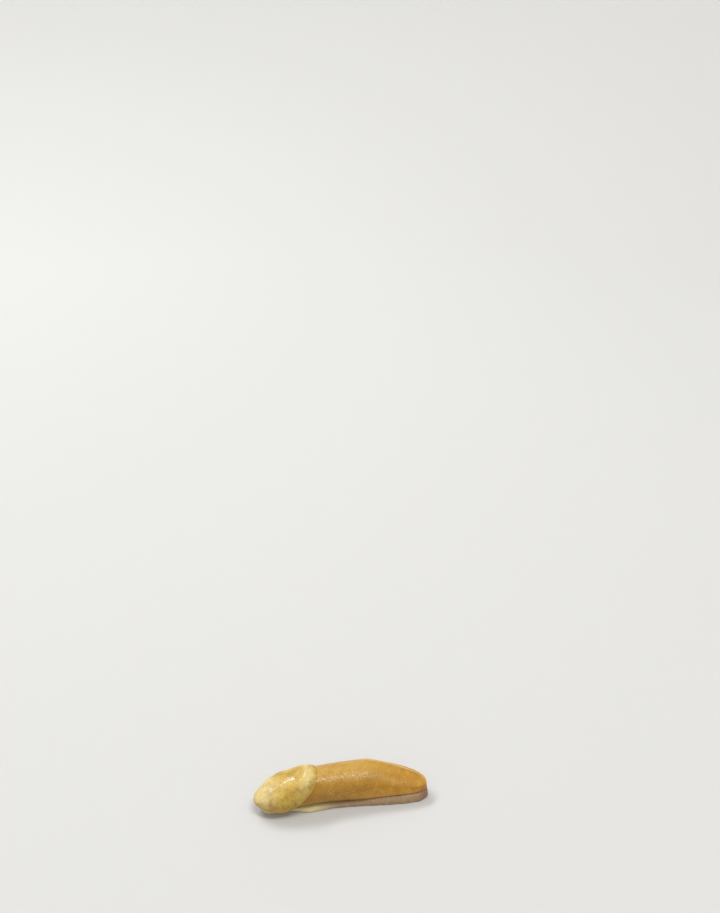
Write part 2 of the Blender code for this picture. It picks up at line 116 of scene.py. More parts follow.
TAIL_BELLY_ROUND = 1.9
TAIL_ROUNDING = (58.0 * MM, 78.0 * MM)

# Mantle
MANTLE_THICKNESS = 2.1 * MM
RIM_START = 0.8
RIM_SINK = 0.3 * MM  # the edge's underside presses this far into the back
MANTLE_CROWDING = 1.5
MANTLE_EDGE = (
    (36.3 * MM, 0.0),
    (35.4 * MM, 0.20),
    (32.8 * MM, 0.34),
    (28.4 * MM, 0.49),
    (23.6 * MM, 0.62),
    (16.0 * MM, 0.73),
    (8.0 * MM, 0.765),
    (4.8 * MM, 0.80),
    (3.4 * MM, 0.88),
    (2.9 * MM, 1.0),
)

# Breathing pore, on the right side of the mantle
PORE_REACH = 0.92
PORE_AROUND = -0.53
PORE_RADIUS = 1.1 * MM
PORE_DEPTH = 0.7 * MM
PORE_LIP = 0.5 * MM
PORE_LIP_RISE = 0.3 * MM
SLIT_WIDTH = 0.5 * MM
SLIT_DEPTH = 0.35 * MM
SLIT_START = (0.2, 0.5)  # on the way from the pore to the mantle's edge
# how dark the slit is painted, as painted shade
SLIT_SHADE = 0.6
PORE_FLOOR = 0.3  # share of the radius that is the pit's flat floor
PORE_FADE = (2.4, 3.2)  # how many radii from the centre the pore's forms end
PORE_LIP_SPREAD = 0.8  # share of the lip's width over which it swells

# Foot
FOOT_START = 4.2 * MM
FOOT_FRONT_HEIGHT = 2.0 * MM
FOOT_HEIGHT = 3.0 * MM
FOOT_FRONT_RISE = (16.0 * MM, 36.0 * MM)
FOOT_TAIL_HEIGHT = 4.6 * MM
FOOT_TAIL_RISE = (56.0 * MM, 76.0 * MM)
FOOT_FRONT_HALF_WIDTH = 8.6 * MM
FOOT_HALF_WIDTH = 10.9 * MM
FOOT_WIDENING = (19.0 * MM, 31.0 * MM)
FOOT_SPREAD = 1.3 * MM
FOOT_SPREAD_PLACE = 34.0 * MM
FOOT_SPREAD_REACH = 8.0 * MM
FOOT_TOP_SHARE = 0.74
FOOT_EDGE = 0.7 * MM
FOOT_BLUNT = 2.0 * MM
FOOT_FRONT_REACH = 11.0 * MM
FOOT_FRONT_POWER = 2.4
FOOT_TAIL_REACH = 33.0 * MM
FOOT_TAIL_POWER = 2.5
FRINGE_WAVE = 0.35 * MM

# Head
HEAD_START = 3.8 * MM
HEAD_REACH = 5.0 * MM
HEAD_BLUNTNESS = 2.2
HEAD_ROUND = 0.85
HEAD_CROWDING = 1.6
HEAD_BLEND = 6.0 * MM
MUZZLE_HALF_WIDTH = 5.2 * MM
MUZZLE_TOP = 5.8 * MM
MUZZLE_Z = 3.7 * MM
MUZZLE_SINK = 0.4 * MM  # how far the muzzle goes down into the foot
NECK_TURN = 0.96
NECK_CUT = 13.5 * MM
LIP_RADIUS = 1.15 * MM
LIP_SIDE = 0.85 * MM
LIP_Z = 3.5 * MM
LIP_ALONG = 4.4 * MM
LIP_STRETCH = (0.85, 1.1, 1.0)
# Feelers: side, height, front end, root radius, tip radius
UPPER_FEELER = (2.5 * MM, 4.9 * MM, 3.9 * MM, 1.1 * MM, 0.95 * MM)
LOWER_FEELER = (3.4 * MM, 3.1 * MM, 4.4 * MM, 0.75 * MM, 0.6 * MM)
FEELER_ROOT = 6.6 * MM
FEELER_SPREAD = 0.8
FEELER_CROWDING = 1.5
FEELER_OVERLAP = 1.0 * MM  # the feelers' roots lie this much further back, inside the muzzle
FEELER_FOLD = 0.42 * MM
FEELER_FOLD_DEPTH = 0.06
FEELER_FOLDS_END = 0.85
FEELER_STEPS = 40
EYE_RADIUS = 0.45 * MM
EYE_SINK = 0.25
BALL_STEPS = 32
HEAD_ROWS = 60
HEAD_COLUMNS = 96
HEAD_FINENESS = 0.13 * MM
HEAD_SMOOTHING = 6


def share(value, low, high):
    return np.clip((value - low) / (high - low), 0.0, 1.0)


def eased(value, low, high):
    """0 below low, 1 above high, with a smooth rise between."""
    part = share(value, low, high)
    return part * part * (3.0 - 2.0 * part)


def mixed(first, second, part):
    return first + (second - first) * part


def rounded(distance, reach, power=2.0):
    """Opens from 0 at an end of the body to 1 at reach, as a superellipse does."""
    return (1.0 - (1.0 - share(distance, 0.0, reach)) ** power) ** (1.0 / power)


def blunt(distance, reach, power):
    """Opens as rounded does, from a rounder start."""
    part = share(distance, 0.0, reach)
    return (1.0 - (1.0 - part) ** power) ** mixed(0.5, 1.0 / power, eased(part, 0.0, NOSE_BLUNTING))


def spine(along):
    """How far the body's middle lies to the left of the frame's middle."""
    reach = np.abs((along - BEND_MIDDLE) / (LENGTH / 2))
    (head_side, head_power), (tail_side, tail_power) = HEAD_BEND, TAIL_BEND
    ahead = along < BEND_MIDDLE
    return SIDE_SHIFT + np.where(ahead, head_side * reach**head_power, tail_side * reach**tail_power)


def lean(along):
    return mixed(MANTLE_LEAN, TAIL_LEAN, eased(along, *LEAN_CHANGE))


def placed(along, across, height):
    """Points of the section at along, bent with the spine and sheared by the lean."""
    along, across, height = np.broadcast_arrays(along, across, height)
    tilt = np.tan(lean(along)) * np.maximum(height - FOOT_HEIGHT, 0.0)
    return np.stack((spine(along) + across + tilt, along - LENGTH / 2, height), axis=-1)


def foot_height(along):
    front = mixed(FOOT_FRONT_HEIGHT, FOOT_HEIGHT, eased(along, *FOOT_FRONT_RISE))
    return mixed(front, FOOT_TAIL_HEIGHT, eased(along, *FOOT_TAIL_RISE))


def foot_half_width(along):
    full = mixed(FOOT_FRONT_HALF_WIDTH, FOOT_HALF_WIDTH, eased(along, *FOOT_WIDENING))
    full = full + FOOT_SPREAD * np.exp(-(((along - FOOT_SPREAD_PLACE) / FOOT_SPREAD_REACH) ** 2))
    front = rounded(along - FOOT_START, FOOT_FRONT_REACH, FOOT_FRONT_POWER)
    return full * front * rounded(LENGTH - along, FOOT_TAIL_REACH, FOOT_TAIL_POWER)


def uneven(place, wavelength, start):
    """A slow, irregular wave between about -1 and 1."""
    turns = 2.0 * np.pi * place / wavelength
    return sum(high * np.sin(speed * turns + shift * start + ahead) for high, speed, shift, ahead in WAVES)


def keel_turn(along):
    return KEEL_TURN * eased(along, *KEEL_DRIFT)


def keel(along, around):
    """The ridge along the midline of the tail, its crest worn into low, uneven teeth."""
    rise = eased(along, *KEEL_RISE) * rounded(BACK_END - along, KEEL_END_REACH)
    tooth = 1.0 - KEEL_TOOTH_DEPTH * (1.0 + uneven(along, KEEL_TOOTH, KEEL_TOOTH_START)) / 2.0
    aside = around - keel_turn(along)
    return KEEL_HEIGHT * rise * tooth * np.exp(-((aside / KEEL_HALF_WIDTH) ** 2))


def body_point(along, around, grow=0.0):
    """The surface of the back and flanks, moved out by grow."""
    along, around = np.broadcast_arrays(along, around)
    around = around - 2.0 * np.round(around / 2.0)

    def opened(tail_reach, tail_power, nose_reach, nose_power):
        tail = rounded(BACK_END - along + grow, tail_reach + grow, tail_power)
        return tail * blunt(along - NOSE_START + grow, nose_reach + grow, nose_power)

    wide = opened(TAIL_WIDTH_REACH, TAIL_WIDTH_POWER, NOSE_WIDTH_REACH, NOSE_WIDTH_POWER)
    high = opened(TAIL_HEIGHT_REACH, TAIL_HEIGHT_POWER, NOSE_HEIGHT_REACH, NOSE_HEIGHT_POWER)
    low = opened(TAIL_BELLY_REACH, TAIL_BELLY_POWER, NOSE_BELLY_REACH, NOSE_BELLY_OPENING)
    pole = mixed(NOSE_Z, TAIL_Z, eased(along, *POLE_RISE))
    half_width = mixed(SHOULDER_HALF_WIDTH, BACK_HALF_WIDTH, eased(along, *BACK_WIDENING))
    saddle = mixed(SHOULDER_HEIGHT, BACK_HEIGHT, eased(along, *BACK_RISE))
    crown = mixed(saddle, HUMP_HEIGHT, eased(along, *HUMP_RISE))
    side, turn = np.where(around < 0.0, -1.0, 1.0), np.abs(around)
    upper = turn <= 0.5
    front = mixed(NOSE_BELLY_POWER, SHOULDER_BELLY_POWER, eased(along, *SHOULDER_SQUARING))
    rear = mixed(BACK_BELLY_POWER, TAIL_BELLY_ROUND, eased(along, *TAIL_ROUNDING))
    below = mixed(front, rear, eased(along, *BACK_ROUNDING))
    roof = np.where(upper, mixed(ROUND_POWER, TAIL_ROOF_POWER, eased(along, *TAIL_ROOF)), below)
    flank = np.where(upper, ROUND_POWER, below)
    top = pole + (crown + grow - pole) * high
    bottom = pole + (BELLY_Z - grow - pole) * low
    across = np.abs(np.sin(np.pi * turn)) ** (2.0 / roof)
    climb = np.abs(np.cos(np.pi * turn)) ** (2.0 / flank)
    waist = pole + (WAIST_Z - pole) * high
    height = waist + (np.where(upper, top, bottom) - waist) * climb + keel(along, around)
    return placed(along, side * (half_width + grow) * wide * across, height)


def floor_turn(along, height):
    """The around at which the lower flank comes down to height, found by halving."""
    low, high = np.full(along.shape, 0.5), np.full(along.shape, 1.0)
    for _ in range(HALVINGS):
        middle = (low + high) / 2
        above = body_point(along, middle)[..., 2] > height
        low, high = np.where(above, middle, low), np.where(above, high, middle)
    return (low + high) / 2


def follow(points, value):
    """Smooth curve through the (place, value) points, at values of the second number."""
    places = np.array([point[0] for point in points])
    values = np.array([point[1] for point in points])
    slopes = np.zeros(len(points))
    slopes[1:-1] = (places[2:] - places[:-2]) / (values[2:] - values[:-2])
    index = np.clip(np.searchsorted(values, value, side="left") - 1, 0, len(points) - 2)
    step = values[index + 1] - values[index]
    part = np.clip((value - values[index]) / step, 0.0, 1.0)
    square, cube = part * part, part * part * part
    return (
        (2 * cube - 3 * square + 1) * places[index]
        + (cube - 2 * square + part) * step * slopes[index]
        + (3 * square - 2 * cube) * places[index + 1]
        + (cube - square) * step * slopes[index + 1]
    )


def mantle_edge(around):
    return follow(MANTLE_EDGE, np.abs(around))


def length_of(vectors):
    return np.sqrt((vectors * vectors).sum(axis=-1))


def unit(vectors):
    return vectors / length_of(vectors)[..., None]


def travelled(points, axis):
    """Lengths over a grid of points along one of its axes, each from its first point."""
    steps = length_of(np.diff(points, axis=axis))
    start = np.zeros_like(steps.take([0], axis=axis))
    return np.concatenate((start, np.cumsum(steps, axis=axis)), axis=axis)


def even_curve(points, count):
    """The points of each row, set at even distances."""
    wanted = np.linspace(0.0, 1.0, count)
    result = np.empty((len(points), count, 3))
    for row, reached in enumerate(travelled(points, 1)):
        for axis in range(3):
            result[row, :, axis] = np.interp(wanted * reached[-1], reached, points[row, :, axis])
    return result


def grid_faces(rows, columns):
    """Four-cornered faces over a grid of points whose last column joins its first."""
    index = np.arange(rows * columns).reshape(rows, columns)
    after = np.roll(index, -1, axis=1)
    return np.stack((index[:-1], index[1:], after[1:], after[:-1]), axis=-1).reshape(-1, 4).tolist()


def linked(name, data):
    """A new object of a mesh, a light or a camera, put in the scene."""
    thing = bpy.data.objects.new(name, data)
    bpy.context.scene.collection.objects.link(thing)
    return thing


def sheet(name, points, values):
    """A closed mesh over a grid of points; values holds numbers or vectors for each point."""
    rows, columns, _ = points.shape
    mesh = bpy.data.meshes.new(name)
    mesh.from_pydata(points.reshape(-1, 3).tolist(), [], grid_faces(rows, columns))
    for key, value in values.items():
        kind, part = ("FLOAT_VECTOR", "vector") if value.ndim == 3 else ("FLOAT", "value")
        layer = mesh.attributes.new(key, kind, "POINT")
        layer.data.foreach_set(part, value.astype(np.float32).ravel())
    shape = bmesh.new()
    shape.from_mesh(mesh)
    bmesh.ops.remove_doubles(shape, verts=shape.verts, dist=WELD)
    open_edges = [edge for edge in shape.edges if edge.is_boundary]
    if open_edges:
        bmesh.ops.holes_fill(shape, edges=open_edges, sides=0)
    bmesh.ops.recalc_face_normals(shape, faces=shape.faces)
    shape.to_mesh(mesh)
    shape.free()
    mesh.shade_smooth()
    return linked(name, mesh)


def soften(piece, rounds, share_at):
    """Evens out a piece; share_at gives the share of the rounds that each of its points gets."""
    shape = bmesh.new()
    shape.from_mesh(piece.data)
    points = np.array([vertex.co for vertex in shape.verts])
    turns = share_at(points) * rounds
    order = np.argsort(-turns)
    every = list(shape.verts)
    chosen = [every[index] for index in order[: int((turns > 0.0).sum())]]
    on_floor = [vertex for vertex in chosen if vertex.co.z < FLOOR_TOUCH]
    for turn in range(rounds):
        bmesh.ops.smooth_vert(
            shape,
            verts=chosen[: int((turns > turn).sum())],
            factor=0.5,
            use_axis_x=True,
            use_axis_y=True,
            use_axis_z=True,
        )
        for vertex in on_floor:
            vertex.co.z = 0.0
    shape.to_mesh(piece.data)
    shape.free()
    piece.data.shade_smooth()


def chart_of(points, middle_row):
    """Lengths in mm over the skin: around from the first column, and along from middle_row."""
    travel = travelled(points, 0)
    travel -= travel[middle_row]
    return travelled(points, 1) / MM, travel / MM


# Skin of the trunk, from the hidden neck to the tip of the tail

TRUNK_START = 8.0 * MM
TRUNK_OPENING = 3.0 * MM  # the flank rises out of the foot over this length
FOOT_COLOUR_REACH = 1.0 * MM  # and the foot's colour covers this much of it
CHART_ORIGIN = 60.0 * MM
ROWS_LEAN_FROM = 94.0 * MM  # the back ends before the foot, so its rows run ahead of the foot's from here

# Rows of the grid: the foot's front, the part that the mantle covers, the bare back and the tip
COVERED_FROM = 16.0 * MM
BARE_FROM = 24.0 * MM
TIP_LENGTH = 10.0 * MM
FRONT_ROWS = 25
FRONT_CROWDING = 1.8
COVERED_ROWS = 17
BACK_ROWS = 276
TIP_ROWS = 70
TIP_CROWDING = 2.0
CAP_ROWS = 5  # rows that close the foot's front

# Columns of each side, from the crown to the middle of the sole
FLANK_COLUMNS = 96
FLANK_FINENESS = 5  # points that are found for each column that is kept
GROOVE_COLUMNS = 5
SLOPE_COLUMNS = 12
EDGE_COLUMNS = 9
SOLE_COLUMNS = 5

# How far across the skin a point lies: 0 at the crown, and these further down
AT_GROOVE = 1.0
AT_FRINGE = 1.1
AT_SOLE_EDGE = 1.9
AT_SOLE = 2.0

# Foot
FOOT_FLAT = 0.03 * MM  # cut from the foot's round front, to leave a small flat
FRONT_BLUNT = 0.6  # the foot's front end keeps this share of its height
TAIL_BLUNT = 0.25  # and its tail end this share
FOOT_END_ROUND = 3.5 * MM
FRINGE_POWER = 2.4
FRINGE_WAVE_LENGTH = 9.0 * MM
FRINGE_WAVE_START = 1.5
FRINGE_WAVE_FULL = 4.0 * MM  # where the foot is narrower, it waves less

# Groove between the flank and the foot
GROOVE_RISE = 0.3 * MM
GROOVE_DEPTH = 0.4 * MM
GROOVE_LEAST = 0.3  # a narrow row keeps at least this share of its width
GROOVE_PLACE = 0.5  # where the bottom of the groove lies between the flank and the fringe
GROOVE_LEVEL = 0.6
GROOVE_PULL = 0.5
WEB_TURN = 0.93  # keeps the end of the tail joined to the foot

# Softening of both ends
TAIL_END = (94.5 * MM, 97.5 * MM)
TAIL_END_ROUNDS = 60
FOOT_END = (5.2 * MM, 4.6 * MM)
FOOT_END_ROUNDS = 30

# Tubercles and folds
COVERED_TURN = 0.78  # the around of the flank's last column, to tell what the mantle covers
FOOT_TURN = 0.8  # and the foot's
BARE_EDGE = (-1.0 * MM, 0.5 * MM)  # tubercles rise over this length at the mantle's edge
BARE_FLANK = (0.97, AT_GROOVE)
CREST_SMOOTHNESS = 0.7
TIP_SMOOTHNESS = 2.0 * MM
SMOOTH_TAIL = (58.0 * MM, 86.0 * MM)  # the tubercles grow lower towards the tail
TAIL_RELIEF = 0.5
FOLDS_TOP = (1.04, 1.2)
FOLDS_BOTTOM = (1.75, 1.88)
FOLDS_END = (0.5 * MM, 3.0 * MM)
FOLDS_START = 2.0 * MM


def trunk_rows():
    """The foot's places, close at the visible back and closer at the tail's end."""
    first = FOOT_START + FOOT_FLAT
    front_steps = np.linspace(0.0, 1.0, FRONT_ROWS)[:-1] ** FRONT_CROWDING
    tip_steps = (1.0 - np.linspace(0.0, 1.0, TIP_ROWS)) ** TIP_CROWDING
    return np.concatenate(
        (
            np.full(CAP_ROWS, first),
            first + (COVERED_FROM - first) * front_steps,
            np.linspace(COVERED_FROM, BARE_FROM, COVERED_ROWS)[:-1],
            np.linspace(BARE_FROM, LENGTH - TIP_LENGTH, BACK_ROWS)[:-1],
            LENGTH - TIP_LENGTH * tip_steps,
        )
    )


def foot_outline(along, side):
    """The foot's half width, with the slow waves of its fringe, and its height."""
    half_width = foot_half_width(along)
    wave = FRINGE_WAVE * (1.0 + uneven(along, FRINGE_WAVE_LENGTH, FRINGE_WAVE_START * side)) / 2.0
    half_width = half_width - wave * share(half_width, 0.0, FRINGE_WAVE_FULL)
    low_end = np.where(along < BEND_MIDDLE, FRONT_BLUNT, 0.0)
    height = foot_height(along) * np.clip((half_width / FOOT_BLUNT) ** 0.5, low_end, 1.0)
    return half_width, height * mixed(TAIL_BLUNT, 1.0, rounded(LENGTH - along, FOOT_END_ROUND))


def trunk_flank(along, root, side):
    """The flank from the crown to the groove; ahead of its start it shrinks to the root."""
    limit = np.minimum(floor_turn(along, foot_height(along) + GROOVE_RISE), WEB_TURN)
    fine = np.linspace(0.0, 1.0, FLANK_FINENESS * FLANK_COLUMNS)
    flank = body_point(along[:, None], side * limit[:, None] * fine[None, :])
    opening = rounded(along - TRUNK_START, TRUNK_OPENING)[:, None, None]
    return even_curve(mixed(root[:, None, :], flank, opening), FLANK_COLUMNS)


def foot_skin(along, half_width, height, side):
    """The fringe from its top round its lower edge, and the sole from there to its middle."""
    edge = np.minimum(FOOT_EDGE, np.minimum(half_width, height) / 2.0)
    angle = np.linspace(0.0, -0.5 * np.pi, EDGE_COLUMNS)
    edge_across = (half_width - edge)[:, None] + edge[:, None] * np.cos(angle)
    edge_lift = edge[:, None] * (1.0 + np.sin(angle))
    turn = 0.5 * np.pi * np.linspace(0.0, 1.0, SLOPE_COLUMNS + 1)[:-1]
    top = FOOT_TOP_SHARE * half_width[:, None]
    slope_across = mixed(top, edge_across[:, :1], np.sin(turn) ** (2.0 / FRINGE_POWER))
    slope_lift = mixed(edge_lift[:, :1], height[:, None], np.cos(turn) ** (2.0 / FRINGE_POWER))
    across = np.concatenate((slope_across, edge_across), axis=1)
    lift = np.concatenate((slope_lift, edge_lift), axis=1)
    inward = np.linspace(1.0, 0.0, SOLE_COLUMNS + 1)[1:]
    fringe = placed(along[:, None], side * across, lift)
    sole = placed(along[:, None], side * (half_width - edge)[:, None] * inward, lift[:, -1:])
    return fringe, sole


def groove(along, flank, fringe, top, side):
    """A rounded groove from the flank's lowest points to the fringe's highest."""
    reach = np.minimum(side * (flank[:, 0] - spine(along)), top)
    across = side * np.maximum(reach - GROOVE_DEPTH, GROOVE_LEAST * reach)
    place = mixed(flank[:, 1], fringe[:, 1], GROOVE_PLACE)
    height = mixed(flank[:, 2], fringe[:, 2], GROOVE_LEVEL)
    bottom = np.stack((spine(along) + across, place, height), axis=-1)
    bottom = bottom + GROOVE_PULL * (bottom - flank)
    part = np.linspace(0.0, 1.0, GROOVE_COLUMNS + 2)[None, 1:-1, None]
    curve = (1.0 - part) ** 2 * flank[:, None, :]
    curve = curve + 2.0 * part * (1.0 - part) * bottom[:, None, :]
    return curve + part**2 * fringe[:, None, :]


def trunk_side(foot_along, side):
    """The grid of one side of the trunk, from the crown to the middle of the sole."""
    stops = np.array((FOOT_START, ROWS_LEAN_FROM, LENGTH))
    flank_along = np.interp(foot_along, stops, (*stops[:-1], BACK_END))
    half_width, height = foot_outline(foot_along, side)
    flank = trunk_flank(flank_along, placed(foot_along, 0.0, height), side)
    fringe, sole = foot_skin(foot_along, half_width, height, side)
    bend = groove(foot_along, flank[:, -1], fringe[:, 0], FOOT_TOP_SHARE * half_width, side)
    return np.concatenate((flank, bend, fringe, sole), axis=1), flank_along


# Small brown flecks: a place (along, around), and a radius
BACK_FLECKS = (
    ((84.4 * MM, 0.69), 0.65 * MM),
    ((95.4 * MM, 0.66), 0.45 * MM),
    ((85.7 * MM, 0.305), 0.4 * MM),
)
MANTLE_FLECKS = (
    ((13.8 * MM, 0.375), 0.42 * MM),
    ((24.2 * MM, 0.495), 0.75 * MM),
)
FLECK_CORE = 0.3  # the dark middle, as a share of the radius
FLECK_RAGGEDNESS = 0.35
FLECK_WAVES = (3.1, 2.3)  # how fast a fleck's outline waves, along the body and upwards


def flecks_on(points, places):
    """How dark a fleck each point lies in, for places of (point, radius)."""
    dark = np.zeros(points.shape[:-1])
    flat = points.reshape(-1, 3)
    for centre, radius in places:
        offset = points - flat[length_of(flat - centre).argmin()]
        wave = np.sin(FLECK_WAVES[0] * offset[..., 1] / radius)
        upward = np.cos(FLECK_WAVES[1] * offset[..., 2] / radius + 1.0)
        ragged = 1.0 + FLECK_RAGGEDNESS * wave * upward
        away = length_of(offset) * ragged
        dark = np.maximum(dark, 1.0 - eased(away, FLECK_CORE * radius, radius))
    return dark


def at_foot_end(points):
    return share(-points[:, 1], *(LENGTH / 2 - np.array(FOOT_END)))


def at_tail_end(points):
    return share(points[:, 1], *(np.array(TAIL_END) - LENGTH / 2))


def both_sides(left, right):
    """Columns of the left side from crown to sole, then the right side's back up to the crown."""
    return np.concatenate((left, right[..., -2:0:-1]), axis=-1)


def trunk_chart(along, left, right):
    """Lengths in mm over the skin: from the crown, positive on the left, and along the body."""
    middle_row = int(np.searchsorted(along, CHART_ORIGIN))
    turned, travel = chart_of(left, middle_row)
    turned_right, travel_right = chart_of(right, middle_row)
    turned = both_sides(turned, -turned_right)
    travel = mixed(travel, travel_right, 0.5)
    return np.stack((turned, both_sides(travel, travel), np.zeros(turned.shape)), axis=-1)


def trunk_side_places(count):
    """How far across the skin each column lies, and its around, for what the mantle covers."""
    ends = (0, FLANK_COLUMNS - 1, FLANK_COLUMNS + GROOVE_COLUMNS, count - SOLE_COLUMNS - 1, count - 1)
    side = np.interp(np.arange(count), ends, (0.0, AT_GROOVE, AT_FRINGE, AT_SOLE_EDGE, AT_SOLE))
    around = np.linspace(0.0, COVERED_TURN, FLANK_COLUMNS)
    around = np.concatenate((around, np.full(count - FLANK_COLUMNS, FOOT_TURN)))
    return both_sides(side, side), both_sides(around, around)


def trunk():
    along = trunk_rows()
    left, flank_along = trunk_side(along, 1.0)
    right, _ = trunk_side(along, -1.0)
    points = np.concatenate((left, right[:, -2:0:-1]), axis=1)
    front = points[CAP_ROWS]
    middle = (front.min(axis=0) + front.max(axis=0)) / 2.0
    points[:CAP_ROWS] = mixed(middle, front, np.linspace(0.0, 1.0, CAP_ROWS + 1)[:-1, None, None])

    side, around = trunk_side_places(left.shape[1])
    place = np.broadcast_to(flank_along[:, None], points.shape[:2])
    side = np.where(place < TRUNK_START + FOOT_COLOUR_REACH, np.maximum(side, AT_FRINGE), side)
    crest = body_point(flank_along, keel_turn(flank_along))
    ridge = np.exp(-((length_of(points - crest[:, None, :]) / KEEL_LINE) ** 2))
    ridge = ridge * (side < AT_GROOVE) * eased(place, *KEEL_LINE_RISE)

    cover = mantle_edge(around)[None, :]
    bare = eased(place, cover + BARE_EDGE[0], cover + BARE_EDGE[1])
    relief = bare * (1.0 - eased(side, *BARE_FLANK)) * (1.0 - CREST_SMOOTHNESS * ridge)
    relief = relief * eased(BACK_END - place, 0.0, TIP_SMOOTHNESS)
    relief = relief * mixed(1.0, TAIL_RELIEF, eased(place, *SMOOTH_TAIL))
    fringe = eased(side, *FOLDS_TOP) * (1.0 - eased(side, *FOLDS_BOTTOM))
    fringe = fringe * eased(LENGTH - place, *FOLDS_END) * eased(place - TRUNK_START, 0.0, FOLDS_START)
    values = {
        "chart": trunk_chart(along, left, right),
        "zone": np.stack((side, place / LENGTH, ridge), axis=-1),
        "relief": relief,
        "fringe": fringe,
        "stain_and_pit_shade": flecks_on(points, [(body_point(*spot), radius) for spot, radius in BACK_FLECKS]),
    }
    piece = sheet("trunk_skin", points, values)
    soften(piece, TAIL_END_ROUNDS, at_tail_end)
    soften(piece, FOOT_END_ROUNDS, at_foot_end)
    return piece


# Mantle: a fleshy flap, open behind and below

MANTLE_ROWS = 160
BOLSTER_ROWS = 40
UNDER_ROWS = 24
FINE_ROWS = 700
CLOSE_ROWS = 0.1 * MM  # rows that would lie closer than this merge
MANTLE_COLUMNS = 310
COLUMN_STEPS = (-1.0, -0.88, 0.88, 1.0)  # columns are spread over the back, with fewer under the nose
COLUMN_TURNS = (-1.0, -0.79, 0.79, 1.0)
BOLSTER = 2.3 * MM  # the mantle rounds down to the back over this width
BOLSTER_SPAN = 1.3 * BOLSTER  # and its rows are crowded over this one
FRONT_BOLSTER = 1.2 * MM
BOLSTER_CHANGE = (6.0 * MM, 18.0 * MM)
BOLSTER_THICKNESS = 1.15 * MM
NOSE_BLEND = (4.0 * MM, 10.0 * MM)
NORMAL_STEP = (0.02 * MM, 0.002)  # along and around, for the way out of the body
LIP_PLACE = (14.0 * MM, 10.0 * MM)
LIP_TOP = (10.5 * MM, 8.5 * MM)
LIP_ROUNDS = 60
POLE_REACH = (3.0 * MM, 1.5 * MM)
POLE_ROUNDS = 80
RELIEF_EDGE = (0.1 * MM, 1.0 * MM)  # the grain starts this far in from the edge

# The raised rear of the mantle, and the dip ahead of it
CROWN_SIDES = (0.1, 0.45)
CROWN_START = (0.2, 0.5)
REAR_SIDES = (0.15, 0.42)
REAR_SWELL = 0.55 * MM
REAR_SWELL_PLACE = 5.0 * MM
REAR_SWELL_WIDTH = 0.7 * REAR_SWELL_PLACE
REAR_DIP = 0.3 * MM
REAR_DIP_PLACE = 12.0 * MM
REAR_DIP_WIDTH = 0.3 * REAR_DIP_PLACE


def body_normal(along, around, grow):
    """The way straight out of the body."""
    step, turn = NORMAL_STEP
    first = np.maximum(along - step, NOSE_START - grow + 1e-7)
    forward = body_point(along + step, around, grow) - body_point(first, around, grow)
    sideways = body_point(along, around + turn, grow) - body_point(along, around - turn, grow)
    return unit(np.cross(sideways, forward))


def mantle_along(reach, around):
    return mixed(NOSE_START - GAP, mantle_edge(around), reach**MANTLE_CROWDING)


def rim_sink(reach):
    return RIM_SINK * eased(reach, RIM_START, 1.0)


def mantle_base(reach, around):
    """The mantle's underside, which presses into the back at its edge, and the way outward."""
    along = mantle_along(reach, around)
    outward = body_normal(along, around, GAP)
    outward = np.where((reach <= 0.0)[..., None], np.array((0.0, -1.0, 0.0)), outward)
    pressed = body_point(along, around, GAP) - outward * rim_sink(reach)[..., None]
    shrunk = body_point(along, around, GAP - rim_sink(reach))
    return mixed(shrunk, pressed, eased(along, *NOSE_BLEND)[..., None]), outward


def mantle_top(reach, around, thickness):
    """The mantle's outside: the nose grows all round, and the rest is pushed straight out."""
    base, outward = mantle_base(reach, around)
    pushed = base + outward * thickness[..., None]
    along = mantle_along(reach, around)
    ahead = along - thickness * (1.0 - reach**MANTLE_CROWDING)
    grown = body_point(ahead, around, GAP - rim_sink(reach) + thickness)
    return mixed(grown, pushed, eased(along, *NOSE_BLEND)[..., None])


def mantle_thickness(reach, around, to_edge, bolster):
    """Full over the shell, thinner behind, and rounded down to nothing at the edge."""
    thickness = mixed(MANTLE_THICKNESS, BOLSTER_THICKNESS, eased(reach, RIM_START, 1.0))
    crown = (1.0 - eased(np.abs(around), *CROWN_SIDES)) * eased(reach, *CROWN_START)
    swell = np.exp(-(((to_edge - REAR_SWELL_PLACE) / REAR_SWELL_WIDTH) ** 2))
    dip = np.exp(-(((to_edge - REAR_DIP_PLACE) / REAR_DIP_WIDTH) ** 2))
    thickness = thickness + crown * (REAR_SWELL * swell - REAR_DIP * dip)
    return thickness * rounded(to_edge, bolster)


def pore_relief(points):
    """The breathing pore's push along its own outward direction, and how deep in it a point lies, which is
    painted as shade.
    """
    place, around = np.array(PORE_REACH), np.array(PORE_AROUND)
    centre, out = mantle_base(place, around)
    centre = centre + out * mantle_thickness(place, around, BOLSTER, BOLSTER)
    edge, _ = mantle_base(np.array(1.0), around)
    run = edge - centre
    run = run - (run @ out) * out
    reach = float(length_of(run))
    run = run / reach
    offset = points - centre
    flat = offset - (offset @ out)[..., None] * out
    aside = length_of(flat - (flat @ run)[..., None] * run)
    distance = length_of(flat)
    near = 1.0 - eased(length_of(offset), *(PORE_RADIUS * part for part in PORE_FADE))
    lip = np.exp(-(((distance - PORE_RADIUS - PORE_LIP / 2) / (PORE_LIP_SPREAD * PORE_LIP)) ** 2))
    pit = 1.0 - eased(distance, PORE_FLOOR * PORE_RADIUS, PORE_RADIUS)
    slit = np.exp(-((aside / (0.5 * SLIT_WIDTH)) ** 2))
    slit = slit * eased(offset @ run, *(reach * part for part in SLIT_START))
    push = lip * (1.0 - slit) * PORE_LIP_RISE - pit * PORE_DEPTH - slit * SLIT_DEPTH * (1.0 - pit)
    return (push * near)[..., None] * out, np.maximum(pit, SLIT_SHADE * slit) * near


